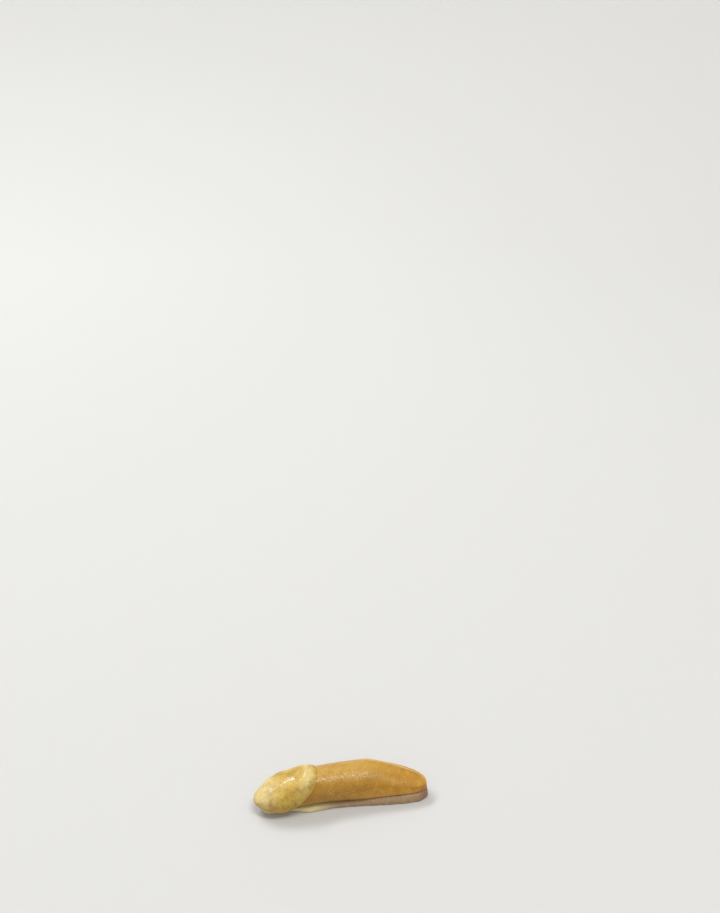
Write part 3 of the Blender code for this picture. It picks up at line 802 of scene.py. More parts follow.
def mantle_grid():
    """How far from nose to edge each point lies, and its around; points crowd near the edge."""
    step = np.arange(MANTLE_COLUMNS) / MANTLE_COLUMNS * 2.0 - 1.0
    around = np.interp(step, COLUMN_STEPS, COLUMN_TURNS)[:, None]
    dense, around = np.broadcast_arrays(np.linspace(0.0, 1.0, FINE_ROWS), around)
    fine, _ = mantle_base(dense, around)
    shell = np.linspace(0.0, 1.0, MANTLE_ROWS + 1)[:-1]
    bolster = 1.0 - (1.0 - np.linspace(0.0, 1.0, BOLSTER_ROWS)) ** 2
    reach = np.empty((MANTLE_COLUMNS, MANTLE_ROWS + BOLSTER_ROWS))
    for column, travel in enumerate(travelled(fine, 1)):
        full = travel[-1]
        start = full - BOLSTER_SPAN
        wanted = np.concatenate((shell * start, mixed(start, full, bolster)))
        if full < CLOSE_ROWS * len(wanted) / 2:
            wanted[1:-1] = np.clip(np.round(wanted[1:-1] / CLOSE_ROWS) * CLOSE_ROWS, 0.0, full)
        reach[column] = np.interp(wanted, travel, dense[column])
    return reach, around[:, : reach.shape[1]]


def edge_distances(base, edge_along):
    """How far each point is from the mantle's edge, and how wide the bolster is there."""
    to_edge, bolster = np.empty(base.shape[:2]), np.empty(base.shape[:2])
    for column, line in enumerate(base):
        away = length_of(line[:, None, :] - base[None, :, -1])
        nearest = edge_along[away.argmin(axis=1)]
        to_edge[column] = away.min(axis=1)
        bolster[column] = mixed(FRONT_BOLSTER, BOLSTER, eased(nearest, *BOLSTER_CHANGE))
    return to_edge, bolster


def at_lip(points):
    """How far each point is within the mantle's low front edge."""
    ahead = share(-points[:, 1], *(LENGTH / 2 - np.array(LIP_PLACE)))
    return np.minimum(ahead, share(-points[:, 2], *(-np.array(LIP_TOP))))


def outside_only(values):
    """Values of the mantle's outside, followed by zeros for its underside."""
    return np.concatenate((values.T, np.zeros((UNDER_ROWS, MANTLE_COLUMNS))))


def mantle():
    reach, around = mantle_grid()
    base, _ = mantle_base(reach, around)
    to_edge, bolster = edge_distances(base, mantle_edge(around[:, 0]))
    outside = mantle_top(reach, around, mantle_thickness(reach, around, to_edge, bolster))
    push, pore = pore_relief(outside)
    outside = outside + push
    spots = [(body_point(*spot, GAP + MANTLE_THICKNESS), radius) for spot, radius in MANTLE_FLECKS]
    # real brown flecks, and painted shade in the pore's pit and slit
    stain_and_pit_shade = np.maximum(pore, flecks_on(outside, spots))
    under = np.linspace(MANTLE_ROWS + BOLSTER_ROWS - 1, 0, UNDER_ROWS + 1).astype(int)[1:]
    points = np.concatenate((outside, base[:, under]), axis=1).transpose(1, 0, 2)

    outer = outside_only(np.ones(reach.shape))
    edge = outside_only(to_edge)
    rear = np.broadcast_to(1.0 - eased(np.abs(around[:, 0]), *REAR_SIDES), points.shape[:2])
    place = (points[:, :, 1] + LENGTH / 2) / LENGTH
    values = {
        "chart": points / MM,
        "zone": np.stack((edge / MM, place, rear * outer), axis=-1),
        "relief": outer * eased(edge, *RELIEF_EDGE) * (1.0 - outside_only(pore)),
        "stain_and_pit_shade": outside_only(stain_and_pit_shade),
    }
    piece = sheet("mantle_skin", points, values)
    pole = outside[0, 0]
    soften(piece, LIP_ROUNDS, at_lip)
    soften(piece, POLE_ROUNDS, lambda spots: share(-length_of(spots - pole), *(-np.array(POLE_REACH))))
    return piece


# Head, lips and feelers, drawn in under the mantle


def head_point(row, column):
    """The muzzle at row 0, turning into the neck at row 1."""
    along = mixed(HEAD_START, NECK_CUT, row**HEAD_CROWDING)
    around = 2.0 * column - 1.0
    opening = rounded(along - HEAD_START, HEAD_REACH, HEAD_BLUNTNESS)
    drop = MUZZLE_Z - foot_height(along) + MUZZLE_SINK
    rise = np.where(np.abs(around) < 0.5, MUZZLE_TOP - MUZZLE_Z, drop)
    sine, cosine = np.sin(np.pi * around), np.cos(np.pi * around)
    across = np.sign(sine) * np.abs(sine) ** HEAD_ROUND * MUZZLE_HALF_WIDTH * opening
    up = np.sign(cosine) * np.abs(cosine) ** HEAD_ROUND * rise * opening
    muzzle = placed(along, across, MUZZLE_Z + up)
    neck = body_point(along, around * NECK_TURN)
    return mixed(muzzle, neck, eased(along, HEAD_BLEND, NECK_CUT)[..., None])


def feeler(name, side, sizes):
    """A drawn-in feeler: a short blunt stub that points forward, ringed by folds."""
    aside, height, front, root_radius, tip_radius = sizes
    root = Vector(placed(FEELER_ROOT + FEELER_OVERLAP, side * aside * FEELER_SPREAD, height))
    tip = Vector(placed(front, side * aside, height))
    forward = (tip - root).normalized()
    across = forward.cross(Vector((0.0, 0.0, 1.0))).normalized()
    up = across.cross(forward)
    row = np.linspace(0.0, 1.0, FEELER_STEPS)[:, None]
    angle = 2.0 * np.pi * np.arange(FEELER_STEPS)[None, :] / FEELER_STEPS
    past = 1.0 - (1.0 - row) ** FEELER_CROWDING
    distance = (tip - root).length
    fold = np.sin(past * distance / FEELER_FOLD * 2.0 * np.pi) * (past < FEELER_FOLDS_END)
    radius = mixed(root_radius, tip_radius, past) * (1.0 + FEELER_FOLD_DEPTH * fold)
    radius = (radius * rounded((1.0 - past) * distance, tip_radius))[..., None]
    points = np.array(root) + np.array(forward) * (distance * past)[..., None]
    for way, turn in ((across, np.cos(angle)), (up, np.sin(angle))):
        points = points + np.array(way) * turn[..., None] * radius
    return sheet(name, points, {})


def ball(name, centre, radius, stretch=(1.0, 1.0, 1.0)):
    shape = bmesh.new()
    bmesh.ops.create_uvsphere(shape, u_segments=BALL_STEPS, v_segments=BALL_STEPS // 2, radius=radius)
    mesh = bpy.data.meshes.new(name)
    shape.to_mesh(mesh)
    shape.free()
    for vertex in mesh.vertices:
        vertex.co = Vector(centre) + Vector(stretch) * vertex.co
    mesh.shade_smooth()
    return linked(name, mesh)


def baked(piece):
    """Turns a piece and its modifiers into a plain mesh."""
    deps = bpy.context.evaluated_depsgraph_get()
    mesh = bpy.data.meshes.new_from_object(piece.evaluated_get(deps))
    piece.modifiers.clear()
    piece.data = mesh


def dressed(piece, material):
    piece.data.materials.clear()
    piece.data.materials.append(material)
    return piece


def head():
    """The muzzle, the lips and the feelers, joined under one skin."""
    row = np.linspace(0.0, 1.0, HEAD_ROWS)[:, None]
    column = np.arange(HEAD_COLUMNS)[None, :] / HEAD_COLUMNS
    muzzle = sheet("head_skin", head_point(*np.broadcast_arrays(row, column)), {})
    lumps = []
    for side, hand in ((1, "left"), (-1, "right")):
        centre = placed(LIP_ALONG, side * LIP_SIDE, LIP_Z)
        lumps.append(ball(f"lip_{hand}", centre, LIP_RADIUS, LIP_STRETCH))
        lumps.append(feeler(f"upper_{hand}", side, UPPER_FEELER))
        lumps.append(feeler(f"lower_{hand}", side, LOWER_FEELER))
    shape = bmesh.new()
    for piece in [muzzle, *lumps]:
        shape.from_mesh(piece.data)
    shape.to_mesh(muzzle.data)
    shape.free()
    for piece in lumps:
        bpy.data.objects.remove(piece)
    remesh = muzzle.modifiers.new("one_skin", "REMESH")
    remesh.mode = "VOXEL"
    remesh.voxel_size = HEAD_FINENESS
    smooth = muzzle.modifiers.new("soft", "CORRECTIVE_SMOOTH")
    smooth.iterations = HEAD_SMOOTHING
    smooth.use_only_smooth = True
    baked(muzzle)
    muzzle.data.shade_smooth()
    return muzzle


def eyes():
    made = []
    aside, height, front = UPPER_FEELER[:3]
    for side, hand in ((1, "left"), (-1, "right")):
        centre = placed(front + EYE_SINK * EYE_RADIUS, side * aside, height)
        made.append(ball(f"eye_{hand}_dome", centre, EYE_RADIUS))
    return made


# Node trees


class Tree:
    """Adds nodes to a tree; a value is a number, a tuple, a name or another node's socket."""

    def __init__(self, tree):
        self.tree = tree

    def node(self, kind, settings=None, **values):
        node = self.tree.nodes.new(kind)
        for key, value in (settings or {}).items():
            setattr(node, key, value)
        for key, value in values.items():
            self.put(node.inputs[key.replace("_", " ")], value)
        return node

    def put(self, socket, value):
        if isinstance(value, bpy.types.NodeSocket):
            self.tree.links.new(value, socket)
        else:
            socket.default_value = value

    def sums(self, kind, operation, values):
        node = self.node(kind, {"operation": operation})
        for socket, value in zip(node.inputs, values):
            self.put(socket, value)
        return node.outputs[0]

    def math(self, operation, *values):
        return self.sums("ShaderNodeMath", operation, values)

    def vector(self, operation, *values):
        return self.sums("ShaderNodeVectorMath", operation, values)

    def plus(self, first, second):
        return self.math("ADD", first, second)

    def minus(self, first, second):
        return self.math("SUBTRACT", first, second)

    def times(self, first, second):
        return self.math("MULTIPLY", first, second)

    def scaled(self, vector, factor):
        node = self.node("ShaderNodeVectorMath", {"operation": "SCALE"}, Scale=factor)
        self.put(node.inputs[0], vector)
        return node.outputs[0]

    def parts(self, vector):
        """A vector's X, Y and Z."""
        return self.node("ShaderNodeSeparateXYZ", Vector=vector).outputs

    def joined(self, **values):
        return self.node("ShaderNodeCombineXYZ", **values).outputs[0]

    def ramp(self, value, low, high, start=0.0, end=1.0):
        """A smooth change from start to end while value goes from low to high."""
        node = self.node("ShaderNodeMapRange", {"interpolation_type": "SMOOTHSTEP"}, Value=value)
        for key, number in zip(("From Min", "From Max", "To Min", "To Max"), (low, high, start, end)):
            self.put(node.inputs[key], number)
        return node.outputs["Result"]

    def noise(self, place, scale, detail=2.0, roughness=0.5, output="Fac"):
        node = self.node("ShaderNodeTexNoise", Vector=place, Scale=scale, Detail=detail, Roughness=roughness)
        return node.outputs[output]

    def blend(self, factor, first, second):
        node = self.node("ShaderNodeMix", {"data_type": "RGBA"})
        for index, value in ((0, factor), (6, first), (7, second)):
            self.put(node.inputs[index], value)
        return node.outputs[2]

    def named_value(self, name, kind="FLOAT"):
        """A value that the skin's points hold, in a tree that shapes it."""
        node = self.node("GeometryNodeInputNamedAttribute", {"data_type": kind}, Name=name)
        return node.outputs["Attribute"]

    def attribute(self, name, output="Fac"):
        """A value that the skin's points hold, in a material."""
        return self.node("ShaderNodeAttribute", {"attribute_name": name}).outputs[output]

    def passed(self, kind, geometry, settings=None, **values):
        """Sends the geometry through one more step."""
        return self.node(kind, settings, Geometry=geometry, **values).outputs["Geometry"]


def colour(red, green, blue):
    """A colour given as the eye sees it, 0 to 255, in the renderer's linear values."""
    values = []
    for part in (red, green, blue):
        part = part / 255.0
        values.append(part / 12.92 if part <= 0.04045 else ((part + 0.055) / 1.055) ** 2.4)
    return (*values, 1.0)


# Relief: the scales are per mm, but the grain's is per tubercle; a slope is how far from the
# net's lines the skin still rises
WARP_SCALE = 0.45
NET_EVENNESS = 0.85
NET_SLOPE = 0.42
GRAIN_SCALE = 2.3
GRAIN_SLOPE = 0.3
WORN_SCALE = 0.16
WORN = (0.3, 0.7, 0.55, 1.0)  # where the noise goes from 0.3 to 0.7, the height goes from 0.55 to full
SWELL_SCALE = 0.09
SWELL_LEVEL = 0.8
FOLD_SCALE = 1.5
FOLD_STRETCH = 0.16
FOLD_WIDTH = 0.13


def net_distance(work, place, dimensions, scale, randomness):
    """How far a place is from the lines of a net of cells."""
    net = work.node(
        "ShaderNodeTexVoronoi",
        {"voronoi_dimensions": dimensions, "feature": "DISTANCE_TO_EDGE"},
        Vector=place,
        Scale=scale,
        Randomness=randomness,
    )
    return net.outputs["Distance"]


def relief_tree(name, dimensions):
    """Raises tubercles on a skin: cells of a worn net over its chart, with the net sunk in."""
    tree = bpy.data.node_groups.new(name, "GeometryNodeTree")
    tree.interface.new_socket("Geometry", in_out="OUTPUT", socket_type="NodeSocketGeometry")
    tree.interface.new_socket("Geometry", in_out="INPUT", socket_type="NodeSocketGeometry")
    for key in ("Width", "Length", "Height", "Warp", "Grain", "Swell", "Fringe"):
        tree.interface.new_socket(key, in_out="INPUT", socket_type="NodeSocketFloat")
    tree.interface.new_socket("Skin", in_out="INPUT", socket_type="NodeSocketMaterial")
    work = Tree(tree)
    given = work.node("NodeGroupInput").outputs
    chart = work.named_value("chart", "FLOAT_VECTOR")
    relief = work.named_value("relief")
    fringe = work.named_value("fringe")

    drift = work.vector("SUBTRACT", work.noise(chart, WARP_SCALE, output="Color"), (0.5, 0.5, 0.5))
    moved = work.vector("ADD", chart, work.scaled(drift, given["Warp"]))
    size = work.joined(X=given["Width"], Y=given["Length"], Z=given["Width"])
    cells = work.vector("DIVIDE", moved, size)
    dome = work.ramp(net_distance(work, cells, dimensions, 1.0, NET_EVENNESS), 0.0, NET_SLOPE)
    grain = work.ramp(net_distance(work, cells, dimensions, GRAIN_SCALE, 1.0), 0.0, GRAIN_SLOPE)
    dome = work.minus(dome, work.times(given["Grain"], work.minus(1.0, grain)))
    worn = work.ramp(work.noise(chart, WORN_SCALE), *WORN)
    sunk = work.times(work.minus(dome, 1.0), given["Height"])
    sunk = work.times(work.times(sunk, relief), worn)
    swell = work.minus(work.noise(chart, SWELL_SCALE), SWELL_LEVEL)
    swell = work.times(work.times(swell, given["Swell"]), relief)

    spot = work.parts(moved)
    upright = work.joined(X=work.times(spot["X"], FOLD_STRETCH), Y=spot["Y"])
    fold = work.math("ABSOLUTE", work.minus(work.noise(upright, FOLD_SCALE, detail=1.0), 0.5))
    fold = work.minus(work.ramp(fold, 0.0, FOLD_WIDTH), 1.0)
    fold = work.times(work.times(fold, given["Fringe"]), fringe)

    offset = work.plus(work.plus(sunk, swell), fold)
    normal = work.node("GeometryNodeInputNormal").outputs["Normal"]
    shown_dome = work.plus(work.times(work.minus(dome, 1.0), relief), 1.0)
    skin = work.passed(
        "GeometryNodeStoreNamedAttribute",
        given["Geometry"],
        {"data_type": "FLOAT", "domain": "POINT"},
        Name="dome",
        Value=shown_dome,
    )
    skin = work.passed("GeometryNodeSetPosition", skin, Offset=work.scaled(normal, offset))
    skin = work.passed("GeometryNodeRealizeInstances", skin)
    skin = work.passed("GeometryNodeSetMaterial", skin, Material=given["Skin"])
    work.node("NodeGroupOutput", Geometry=skin)
    return tree


def raise_skin(piece, tree, material, **sizes):
    """Gives a piece its relief and its skin."""
    change = piece.modifiers.new("relief", "NODES")
    change.node_group = tree
    sizes["Skin"] = material
    for item in tree.interface.items_tree:
        if item.item_type == "SOCKET" and item.in_out == "INPUT" and item.name in sizes:
            change[item.identifier] = sizes[item.name]
    baked(piece)
    return dressed(piece, material)


# Flesh: every material's colour goes through one mottling, and its shine through one film of slime

CLOUD_SCALE = 0.16
PALE_CLOUD = (0.48, 0.7)
DARK_CLOUD = (0.52, 0.3)
SPECKS = ((0.75, 0.3), (2.1, 0.34))  # scale and strength
PALE_SPECK = (0.56, 0.7)
DARK_SPECK = (0.44, 0.3)
# Painted shade in the sunk net between the tubercles
NET_SHADE_POWER = 1.4
BUMPS = {"cells": (3.2, -0.7), "pores": (8.0, 0.3), "lumps": (1.5, 1.9)}  # scale and height
WET_SCALE = 0.42
WET_PATCHES = (0.35, 0.68, 0.0, 0.4)
# Brown of the flecks, also used for the painted shade in the breathing pore
FLECK_AND_PIT_BROWN = (colour(64, 38, 20), 0.82)  # a paint: its colour and its strength
DRY_AND_WET_ROUGHNESS = (0.5, 0.26)
DRY_AND_WET_COAT = (0.15, 1.0)


def shader_group(name, inputs, outputs):
    tree = bpy.data.node_groups.new(name, "ShaderNodeTree")
    for key, kind, value in inputs:
        socket = tree.interface.new_socket(key, in_out="INPUT", socket_type=kind)
        socket.default_value = value
    for key, kind in outputs:
        tree.interface.new_socket(key, in_out="OUTPUT", socket_type=kind)
    work = Tree(tree)
    return tree, work, work.node("NodeGroupInput").outputs, work.node("NodeGroupOutput").inputs


def laid(work, where, shade, paint):
    """Lays a paint, which is a colour and its strength, over a shade."""
    return work.blend(work.times(where, paint[1]), shade, paint[0])


def mottle_group():
    """Cloudy patches and specks over a base colour, painted shade in the sunk net between the tubercles,
    with a fine bump and wet patches.
    """
    tree, work, given, out = shader_group(
        "mottled_skin",
        (
            ("Place", "NodeSocketVector", (0.0, 0.0, 0.0)),
            ("Base", "NodeSocketColor", (0.5, 0.3, 0.1, 1.0)),
            ("Pale", "NodeSocketColor", (0.7, 0.5, 0.2, 1.0)),
            ("Dark", "NodeSocketColor", (0.2, 0.1, 0.03, 1.0)),
            ("Dome", "NodeSocketFloat", 1.0),
            ("Patches", "NodeSocketFloat", 0.35),
            ("Net", "NodeSocketFloat", 0.3),
        ),
        (("Color", "NodeSocketColor"), ("Height", "NodeSocketFloat"), ("Wet", "NodeSocketFloat")),
    )
    place = given["Place"]
    cloud = work.noise(place, CLOUD_SCALE, detail=4.0, roughness=0.6)
    shade = laid(work, work.ramp(cloud, *PALE_CLOUD), given["Base"], (given["Pale"], given["Patches"]))
    shade = laid(work, work.ramp(cloud, *DARK_CLOUD), shade, (given["Dark"], given["Patches"]))
    for scale, strength in SPECKS:
        speck = work.noise(place, scale, roughness=0.6)
        shade = laid(work, work.ramp(speck, *DARK_SPECK), shade, (given["Dark"], strength))
        shade = laid(work, work.ramp(speck, *PALE_SPECK), shade, (given["Pale"], strength))
    # painted shade in the sunk net between the tubercles, as strong as Net says
    sunk = work.minus(1.0, given["Dome"])
    net_shade = work.math("POWER", sunk, NET_SHADE_POWER)
    work.put(out["Color"], laid(work, net_shade, shade, (given["Dark"], given["Net"])))

    cell_scale, cell_height = BUMPS["cells"]
    pore_scale, pore_height = BUMPS["pores"]
    lump_scale, lump_height = BUMPS["lumps"]
    cells = work.node(
        "ShaderNodeTexVoronoi", {"feature": "SMOOTH_F1"}, Vector=place, Scale=cell_scale, Smoothness=0.5
    )
    height = work.times(cells.outputs["Distance"], cell_height)
    pores = work.noise(place, pore_scale, detail=3.0, roughness=0.6)
    height = work.plus(height, work.times(pores, pore_height))
    height = work.plus(height, work.times(work.noise(place, lump_scale), lump_height))
    work.put(out["Height"], height)
    wet = work.noise(place, WET_SCALE, detail=4.0, roughness=0.65)
    work.put(out["Wet"], work.ramp(wet, *WET_PATCHES))
    return tree


def new_material(name, **constants):
    """A material with the same value all over each of the sockets that are named."""
    material = bpy.data.materials.new(name)
    material.use_nodes = True
    shader = material.node_tree.nodes["Principled BSDF"]
    for key, value in constants.items():
        shader.inputs[key.replace("_", " ")].default_value = value
    return material, Tree(material.node_tree), shader.inputs


def flesh_material(name):
    """A moist flesh; its colour, bump and wetness are linked by finish_skin."""
    return new_material(
        name,
        Specular_IOR_Level=0.27,
        Subsurface_Weight=0.12,
        Subsurface_Radius=(1.0, 0.55, 0.2),
        Subsurface_Scale=1.2 * MM,
        Coat_Roughness=0.12,
        Coat_IOR=1.38,
    )


def mottled_by(work, mottle, **values):
    return work.node("ShaderNodeGroup", {"node_tree": mottle}, **values).outputs


def finish_skin(work, shader, shade, mottled, bump, bump_height, wet=None):
    """Links the colour, the bump, and the film of slime, which lies in patches."""
    work.put(shader["Base Color"], shade)
    raised = work.node("ShaderNodeBump", Strength=bump, Distance=bump_height, Height=mottled["Height"])
    work.put(shader["Normal"], raised.outputs["Normal"])
    wet = mottled["Wet"] if wet is None else wet
    work.put(shader["Roughness"], work.ramp(wet, 0.0, 1.0, *DRY_AND_WET_ROUGHNESS))
    work.put(shader["Coat Weight"], work.ramp(wet, 0.0, 1.0, *DRY_AND_WET_COAT))


def stained_and_pit_shaded(work, shade):
    """The brown flecks over a colour, and on the mantle the painted shade in the breathing pore's pit and
    slit.
    """
    return laid(work, work.attribute("stain_and_pit_shade"), shade, FLECK_AND_PIT_BROWN)


# Trunk's colours from the crown down: where each begins and is full across the side, and the colour
# The crest's lighter ochre and the bands below it are painted light and shade over the ochre body: sky light
# on the crest, shade on the middle flank, bounce light low down.
LIT_CREST_OCHRE = colour(200, 156, 66)
FLANK_LIGHT_BANDS = (
    (0.05, 0.42, colour(184, 136, 42)),
    (0.42, 0.7, colour(172, 120, 22)),
    (0.68, 0.95, colour(182, 136, 46)),
)
FRONT_OLIVE = (colour(166, 142, 62), 0.6)
TAIL_OCHRE = (colour(174, 120, 22), 0.65)
# Painted bounce light: the rear flank is lighter and more orange low down
TAIL_BOUNCE_LIGHT = (colour(228, 166, 70), 0.85)
TRUNK_PALE = colour(212, 172, 84)
TRUNK_DARK = colour(140, 96, 20)
# Pale keel line: partly the keel's own paler skin, partly a painted highlight along the crest
KEEL_CREAM_AND_HIGHLIGHT = (colour(226, 194, 120), 0.8)
FOOT_DARK_GREY = colour(158, 128, 94)
FOOT_PALE_GREY = colour(176, 148, 114)
# The foot's front: partly its own pale cream, partly painted light against the mantle's shadow
FOOT_CREAM_AND_LIGHT = (colour(234, 218, 162), 0.75)
FOOT_PURPLE = (colour(136, 84, 66), 0.8)
SOLE_GREY = colour(168, 142, 108)
# Painted shade in the groove between the flank and the foot
GROOVE_SHADE_BROWN = (colour(120, 88, 44), 0.25)

# Where they change along the trunk, as shares of its length, and across it
FRONT = (0.5, 0.36)
FRONT_LOW = (0.7, 0.95)
TAIL = (0.6, 0.85)
BOUNCE_REAR = (0.5, 0.7)
BOUNCE_LOW = (0.6, 0.95)
PALE_LIT_FOOT = (0.5, 0.32)
PURPLE_TIP = (0.91, 0.985)
ON_FOOT = (1.0, 1.07)
GROOVE_SHADE_TOP = (0.97, 1.0)
GROOVE_SHADE_BOTTOM = (1.14, 1.06)
ON_SOLE = (1.7, 1.95)
FOOT_GREYS = (0.34, 0.68)
FOOT_GLINT = (0.45, 0.65)
TIP_GLINT = (0.93, 0.98, 0.0, 0.7)
GLINT_STRENGTH = 0.7
TRUNK_FILM = 0.28
# strength of the painted shade in the net between tubercles
TRUNK_NET_SHADE = 0.26
LEVEL_SCALE = 0.25
LEVEL_DRIFT = 0.25
STREAK_SCALE = 0.9
STREAK_STRETCH = 0.25
DRY_TAIL = (0.62, 0.82, 1.0, 0.1)


def flank_colour_and_light(work, place, level):
    """Ochre flanks with painted light and shade, lighter at the crest, darker in the middle flank and
    lighter low down; olive low in front, and a painted bounce light low at the rear.
    """
    shade = LIT_CREST_OCHRE
    # painted light and shade, from the crown down
    for start, full, band in FLANK_LIGHT_BANDS:
        shade = work.blend(work.ramp(level, start, full), shade, band)
    olive = work.times(work.ramp(place, *FRONT), work.ramp(level, *FRONT_LOW))
    shade = laid(work, olive, shade, FRONT_OLIVE)
    shade = laid(work, work.ramp(place, *TAIL), shade, TAIL_OCHRE)
    # painted bounce light low on the rear flank
    bounce_light = work.times(work.ramp(place, *BOUNCE_REAR), work.ramp(level, *BOUNCE_LOW))
    return laid(work, bounce_light, shade, TAIL_BOUNCE_LIGHT)


def foot_colour(work, place, side, streak):
    """Grey-brown with upright streaks, cream in front and lifted there by painted light against the mantle's
    shadow, and purple at the tip.
    """
    shade = work.blend(work.ramp(streak, *FOOT_GREYS), FOOT_DARK_GREY, FOOT_PALE_GREY)
    # pale cream front, partly painted light
    shade = laid(work, work.ramp(place, *PALE_LIT_FOOT), shade, FOOT_CREAM_AND_LIGHT)
    shade = laid(work, work.ramp(place, *PURPLE_TIP), shade, FOOT_PURPLE)
    return work.blend(work.ramp(side, *ON_SOLE), shade, SOLE_GREY)


def trunk_material(mottle):
    material, work, shader = flesh_material("trunk_skin")
    chart = work.attribute("chart", "Vector")
    zone = work.parts(work.attribute("zone", "Vector"))
    side, place, ridge = zone["X"], zone["Y"], zone["Z"]
    drift = work.minus(work.noise(chart, LEVEL_SCALE), 0.5)
    level = work.plus(side, work.times(drift, LEVEL_DRIFT))
    mottled = mottled_by(
        work,
        mottle,
        Place=chart,
        Base=flank_colour_and_light(work, place, level),
        Pale=TRUNK_PALE,
        Dark=TRUNK_DARK,
        Dome=work.attribute("dome"),
        Net=TRUNK_NET_SHADE,
    )
    spot = work.parts(chart)
    upright = work.joined(X=work.times(spot["X"], STREAK_STRETCH), Y=spot["Y"])
    streak = work.noise(upright, STREAK_SCALE, detail=4.0, roughness=0.7)
    on_foot = work.ramp(side, *ON_FOOT)
    # pale keel line, partly a painted highlight
    shade = laid(work, ridge, mottled["Color"], KEEL_CREAM_AND_HIGHLIGHT)
    shade = work.blend(on_foot, shade, foot_colour(work, place, side, streak))
    # painted shade in the groove between the flank and the foot
    groove_shade = work.times(work.ramp(side, *GROOVE_SHADE_TOP), work.ramp(side, *GROOVE_SHADE_BOTTOM))
    shade = laid(work, groove_shade, shade, GROOVE_SHADE_BROWN)

    glint = work.math("MAXIMUM", work.ramp(streak, *FOOT_GLINT), work.ramp(place, *TIP_GLINT))
    glint = work.times(work.times(glint, on_foot), GLINT_STRENGTH)
    film = work.times(work.plus(mottled["Wet"], TRUNK_FILM), work.ramp(place, *DRY_TAIL))
    wet = work.math("MAXIMUM", film, glint)
    finish_skin(work, shader, stained_and_pit_shaded(work, shade), mottled, bump=0.55, bump_height=0.06 * MM, wet=wet)
    return material


# Mantle's colours: depths and heights are in mm, and places are shares of the animal's length
MANTLE_YELLOW = colour(209, 172, 72)
# The nose: partly its own paler cream, partly a painted highlight
NOSE_CREAM_AND_HIGHLIGHT = colour(240, 218, 158)
# The raised rear: partly paler flesh, partly a painted highlight on its sky-facing top
REAR_CREAM_AND_HIGHLIGHT = (colour(232, 212, 146), 0.85)
# Painted shade: the mantle's sides grow darker ochre lower down
SHADED_LOW_OCHRE = colour(186, 146, 38)
# Painted shade where the mantle rounds down to its edge
EDGE_SHADE_BROWN = (colour(168, 124, 44), 0.35)
MANTLE_PALE = colour(230, 206, 124)
MANTLE_DARK = colour(146, 112, 34)
PALE_LIT_NOSE = (0.17, 0.05)
PALE_LIT_REAR_FRONT = (8.0, 5.0)
PALE_LIT_REAR_BACK = (0.6, 3.0)
SHADED_LOW_SIDES = (12.0, 6.0, 0.0, 0.7)
SHADED_EDGE = (1.6, 0.3)
MANTLE_DRIFT = 3.0
MANTLE_DRIFT_SCALE = 0.3
MANTLE_PATCHES = 0.62
# strength of the painted shade in the net between granules
MANTLE_NET_SHADE = 0.3

# The wettest place on the mantle, from its front to its rear, in mm
WET_START = (5.6, -33.9)
WET_END = (0.6, -24.0)
WET_WIDTH = 2.0
WET_CORE = 0.4 * WET_WIDTH
WET_BREAKS = (0.36, 0.5)
WET_GRAIN_SCALE = 0.9


def wet_shoulder(work, chart):
    """A film of slime along the mantle's shoulder, broken up by the grain of the skin."""
    spot = work.parts(chart)
    run = (WET_END[0] - WET_START[0], WET_END[1] - WET_START[1])
    full = math.hypot(*run)
    right, back = run[0] / full, run[1] / full
    x, y = work.minus(spot["X"], WET_START[0]), work.minus(spot["Y"], WET_START[1])
    along = work.plus(work.times(x, right), work.times(y, back))
    aside = work.minus(work.times(x, back), work.times(y, right))
    past = work.minus(along, work.math("MINIMUM", work.math("MAXIMUM", along, 0.0), full))
    away = work.math("SQRT", work.plus(work.math("POWER", past, 2.0), work.math("POWER", aside, 2.0)))
    near = work.ramp(away, WET_WIDTH, WET_CORE)
    grain = work.noise(chart, WET_GRAIN_SCALE, detail=4.0, roughness=0.7)
    return work.ramp(work.times(near, grain), *WET_BREAKS)


def mantle_material(mottle):
    material, work, shader = flesh_material("mantle_skin")
    chart = work.attribute("chart", "Vector")
    zone = work.parts(work.attribute("zone", "Vector"))
    edge, place, rear = zone["X"], zone["Y"], zone["Z"]
    drift = work.minus(work.noise(chart, MANTLE_DRIFT_SCALE, detail=3.0), 0.5)
    drift = work.times(drift, MANTLE_DRIFT)
    reach = work.plus(edge, drift)
    # pale nose, partly a painted highlight
    shade = work.blend(work.ramp(place, *PALE_LIT_NOSE), MANTLE_YELLOW, NOSE_CREAM_AND_HIGHLIGHT)
    # pale raised rear, partly a painted highlight
    pale_lit_rear = work.times(work.ramp(reach, *PALE_LIT_REAR_FRONT), work.ramp(reach, *PALE_LIT_REAR_BACK))
    shade = laid(work, work.times(pale_lit_rear, rear), shade, REAR_CREAM_AND_HIGHLIGHT)
    # painted shade, darker lower down the sides
    low = work.ramp(work.plus(work.parts(chart)["Z"], drift), *SHADED_LOW_SIDES)
    shade = work.blend(low, shade, SHADED_LOW_OCHRE)
    # painted shade at the rounded edge
    shade = laid(work, work.ramp(edge, *SHADED_EDGE), shade, EDGE_SHADE_BROWN)
    mottled = mottled_by(
        work,
        mottle,
        Place=chart,
        Base=shade,
        Pale=MANTLE_PALE,
        Dark=MANTLE_DARK,
        Dome=work.attribute("dome"),
        Patches=MANTLE_PATCHES,
        Net=MANTLE_NET_SHADE,
    )
    wet = work.math("MAXIMUM", mottled["Wet"], wet_shoulder(work, chart))
    shade = stained_and_pit_shaded(work, mottled["Color"])
    finish_skin(work, shader, shade, mottled, bump=0.8, bump_height=0.09 * MM, wet=wet)
    return material


